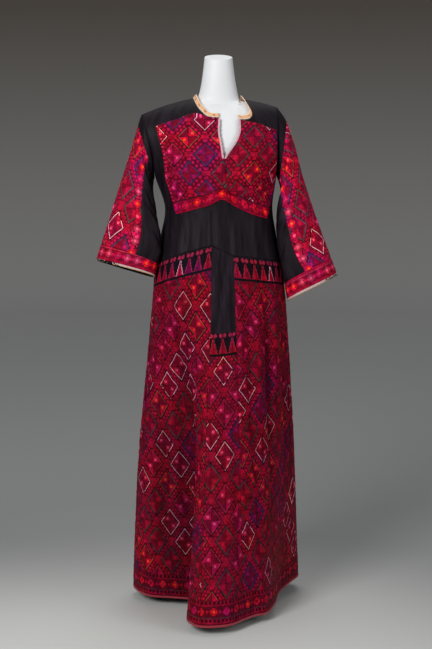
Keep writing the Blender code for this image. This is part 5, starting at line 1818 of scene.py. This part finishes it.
# %% Skirt panels
for panel in SKIRT_PANELS:
    columns = round((panel.end - panel.start) / SKIRT_COLUMN)
    around = seam_spaced(panel.start + AROUND_GAP, panel.end - AROUND_GAP, columns, 0.3)
    low = hem_height(around) + BINDING_HEIGHT + 0.5 * SEAM_GAP
    high = waist_seam(around) - 0.5 * SEAM_GAP
    points, normals, rise = skirt_grid(low, high, around)
    hollow = hollow_at(np.broadcast_to(around, rise.shape), points[..., 2])
    # Crease troughs count as deeper hollows, so they get painted shade too.
    hollow = hollow - TROUGH_SHADE * np.minimum(rise, 0.0)
    middle = int(np.abs(around - panel.middle).argmin())
    outer = centre_stitched if panel.node == "skirt_front_centre" else side_stitched
    cuts[panel.node] = cloth(
        f"stitched_{panel.node}", points, normals, [outer, black_sateen], middle,
        shift=(panel.across, panel.up + BINDING_HEIGHT), pucker=0.0009,
        hollow=hollow,
    )

# %% [markdown]
# ## Hem tape
# The hem is closed by a narrow tape folded round its edge, sewn into one ring. It follows the skirt's own
# surface, a little thicker than the cloth and rounded at both edges, so that it reads as a fold.

# %% Hem tape
BINDING_WALL = 0.0024
BINDING_ROUND = 0.0006
around = np.arange(STRIP_RIGHT, STRIP_RIGHT + 360.5, 0.5)
low = hem_height(around)
heights = low + BINDING_HEIGHT * np.linspace(0.0, 1.0, 7)[:, None]
around = np.broadcast_to(around, heights.shape)
points, normals = face_grid(skirt_point, around, heights, TURN_STEP, 1.0)
wrapped = wrap(around)
rise = creased(SKIRT_CREASES, wrapped * AROUND_METRE, heights) + 0.5 * (BINDING_WALL - CLOTH_WALL)
rise = rise - BINDING_ROUND * np.linspace(-1.0, 1.0, 7)[:, None] ** 4
cuts["hem_binding"] = cloth(
    "red_hem_tape", points + normals * rise[..., None], normals, [red_tape], 0, wall=BINDING_WALL,
    dips=False,
)
print("hem tape:", round(1000 * BINDING_HEIGHT), "mm wide")

# %% [markdown]
# ## Sleeves
# Each sleeve is a wide tube: a black head at the shoulder, an embroidered strip down its outer side, a
# black piece under the arm, an embroidered cuff, and a fine silk edging. Both sleeves come from one table
# of pieces, since a tailor cuts them from one pattern, and only their rings and their twist differ.

# %% Sleeve pieces' seams
HEAD_END = 0.10
CUFF_START = 0.89
EDGING_START = 0.985
STRIP_TURN = 90.0
# Both sleeves have turned a little on the arm, so their strips lie further forward near the shoulder.
SleeveTwist = namedtuple("SleeveTwist", "along right left")
SLEEVE_TWIST = tuple(SleeveTwist(*row) for row in (
    (0.1, 14.0, 74.0), (0.25, 8.0, 50.0), (0.5, 0.0, 16.0), (0.75, 0.0, 9.0), (0.89, 0.0, 2.0),
))
SleevePiece = namedtuple("SleevePiece", "name start end low high columns rows materials")
SLEEVE_PIECES = tuple(SleevePiece(*row) for row in (
    ("head", -180.0, 180.0, 0.0, HEAD_END, 120, 14, [black_sateen]),
    ("strip", -STRIP_TURN, STRIP_TURN, HEAD_END, CUFF_START, 70, 90, [strip_stitched, black_sateen]),
    ("under", STRIP_TURN, 360.0 - STRIP_TURN, HEAD_END, CUFF_START, 70, 90, [black_sateen]),
    ("cuff", -180.0, 180.0, CUFF_START, EDGING_START, 140, 16, [cuff_stitched, black_sateen]),
    ("edging", -180.0, 180.0, EDGING_START, 1.0, 140, 5, [cuff_silk, black_sateen]),
))
TURN_GAP = 0.12
ALONG_GAP = 0.0004
print("pieces in each sleeve:", len(SLEEVE_PIECES))

# %% Both sleeves
for side, rings in (("right", RIGHT_SLEEVE), ("left", LEFT_SLEEVE)):
    outward = math.copysign(1.0, rings[0].outer_x)

    def on_sleeve(turn, along):
        return sleeve_point(rings, turn, along)

    for part in SLEEVE_PIECES:
        turns = seam_spaced(part.start + TURN_GAP, part.end - TURN_GAP, part.columns, 1.0)
        alongs = seam_spaced(part.high - ALONG_GAP, part.low + ALONG_GAP, part.rows, 0.002)
        turn, along = np.meshgrid(turns, alongs)
        if part.name in ("strip", "under"):
            turn = turn + read(SLEEVE_TWIST, "along", side, along)
        points, normals = face_grid(on_sleeve, turn, along, TURN_STEP, outward)
        wrapped = wrap(turn)
        rise = creased(SLEEVE_CREASES, wrapped * TURN_METRE, along * SLEEVE_METRE)
        node = f"sleeve_{side}_{part.name}"
        cuts[node] = cloth(
            f"cloth_{node}", points + normals * rise[..., None], normals, part.materials, len(turns) // 2,
            dips=part.name != "edging", pucker=0.0005 if part.name == "strip" else 0.0,
        )

# %% [markdown]
# ## The form
# The limbless form is one smooth shell: hips, waist, chest, shoulders that run close under the cloth, and
# a neck that flares softly into them and ends in a flat top tilted a little forward. A mannequin is
# moulded from a turned pattern, so it is built the same way here, as level rings bridged to one another.

# %% Form sections
FormSection = namedtuple("FormSection", "height right left front back")
FORM = tuple(FormSection(*row) for row in (
    (0.8, 0.14, 0.14, 0.1, 0.094), (0.808, 0.15, 0.15, 0.11, 0.102), (0.88, 0.161, 0.161, 0.121, 0.108),
    (0.97, 0.156, 0.156, 0.115, 0.1), (1.05, 0.143, 0.143, 0.104, 0.09), (1.13, 0.13, 0.13, 0.098, 0.084),
    (1.2, 0.144, 0.144, 0.118, 0.097), (1.26, 0.15, 0.15, 0.12, 0.1), (1.32, 0.152, 0.152, 0.1068, 0.092),
    (1.36, 0.151, 0.151, 0.0866, 0.076), (1.385, 0.148, 0.148, 0.0684, 0.06),
    (1.398, 0.143, 0.143, 0.0566, 0.05), (1.4086, 0.134, 0.134, 0.0452, 0.044),
    (1.4122, 0.118, 0.116, 0.041, 0.042), (1.4166, 0.094, 0.086, 0.04, 0.0415),
    (1.4206, 0.069, 0.063, 0.0395, 0.0415), (1.425, 0.061, 0.057, 0.0392, 0.042),
    (1.43, 0.057, 0.0545, 0.039, 0.0425), (1.438, 0.0535, 0.0525, 0.039, 0.043),
    (1.456, 0.049, 0.049, 0.039, 0.045), (1.485, 0.044, 0.044, 0.038, 0.044),
    (1.515, 0.0402, 0.0402, 0.036, 0.041), (1.5355, 0.0379, 0.0379, 0.0345, 0.0386),
    (1.5371, 0.0377, 0.0377, 0.0343, 0.0384), (1.5381, 0.037, 0.037, 0.0336, 0.0377),
))
print("form sections:", len(FORM))

# %% Rings of the form
FORM_NECK_X = 0.056
FORM_CLEAR = 0.0056
FORM_RIDGE = 0.003
FORM_FINE = 4
FORM_SIDES = 120
NECK_TOP_TILT = 12.0
TILT_START_Z = 1.500


def form_rings():
    """The form's points, ring by ring, kept clear of the bodice's wall under the shoulders."""
    steps = np.linspace(0, len(FORM) - 1, (len(FORM) - 1) * FORM_FINE + 1)
    height = np.interp(steps, np.arange(len(FORM)), column(FORM, "height"))[:, None]
    turn = np.radians(np.arange(FORM_SIDES) * 360.0 / FORM_SIDES)
    cosine = np.cos(turn)
    right, left = read(FORM, "height", "right", height), read(FORM, "height", "left", height)
    x = np.where(cosine < 0.0, right, left) * cosine
    height = np.broadcast_to(height, x.shape)
    level = []
    for side, front in (("front", True), ("back", False)):
        depth = read(FORM, "height", side, height) * np.abs(np.sin(turn))
        cloth_depth = np.abs(torso_point(x, height + FORM_CLEAR, front)[..., 1])
        room = np.maximum(cloth_depth - FORM_CLEAR, FORM_RIDGE)
        under = (height > UNDERARM_Z) & (np.abs(x) > FORM_NECK_X)
        level.append(np.where(under, np.minimum(depth, room), depth))
    y = np.where(np.sin(turn) < 0.0, -level[0], level[1])
    tilted = np.clip((height - TILT_START_Z) / (FORM[-1].height - TILT_START_Z), 0.0, 1.0)
    lean = y * math.tan(math.radians(NECK_TOP_TILT)) * tilted
    return np.stack([x, y, height + lean], axis=-1)


rings = form_rings()
print("form points:", rings.shape[0] * rings.shape[1])

# %% Dress form
SHARP_ANGLE = 32.0
form_bm = bmesh.new()
stacked = [[form_bm.verts.new(point) for point in ring] for ring in rings]
for lower, upper in zip(stacked, stacked[1:]):
    bmesh.ops.bridge_loops(form_bm, edges=[
        form_bm.edges.get((a, b)) or form_bm.edges.new((a, b))
        for loop in (lower, upper) for a, b in zip(loop, loop[1:] + loop[:1])
    ])
bmesh.ops.holes_fill(form_bm, edges=[edge for edge in form_bm.edges if edge.is_boundary], sides=0)
bmesh.ops.recalc_face_normals(form_bm, faces=form_bm.faces)
form_torso = hand_over(form_bm, "painted_form_torso", matt_form)
form_torso.data.set_sharp_from_angle(angle=math.radians(SHARP_ANGLE))
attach(form_torso, "root")
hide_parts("form_torso")
print("form height:", round(float(rings[..., 2].max() - rings[..., 2].min()), 3), "m")

# %% [markdown]
# ## The stand
# The form stands on a steel tube and a plate that the skirt hides. They could be modelled again, but their
# solids already have the right shape, so they stay and only take a better finish.

# %% Steel finishes
STEEL_PARTS = ("form_pole", "form_base")
for name in STEEL_PARTS:
    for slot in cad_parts[name].material_slots:
        slot.material = coated_steel
print("steel solids kept:", len(STEEL_PARTS))

# %% [markdown]
# ## Attaching the pieces
# A sewing pattern lists every piece with its cloth and its cut size. Here every piece is attached to the
# dress's one body and the solid it replaces is hidden. One loop does it, because the pieces' names already
# tell where they belong.

# %% Attach every piece
# Trims narrower than a centimetre are listed with the piece that they are sewn to.
SEWN_TO = {
    "slit_edging_right": "chest_panel", "slit_edging_left": "chest_panel",
    "hem_binding": "skirt_front_centre",
    "sleeve_right_edging": "sleeve_right_cuff", "sleeve_left_edging": "sleeve_left_cuff",
}
for node, cut in cuts.items():
    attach(cut.piece, "root")
    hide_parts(node)
    if node in SEWN_TO:
        continue
print("cloth pieces:", len(cuts))
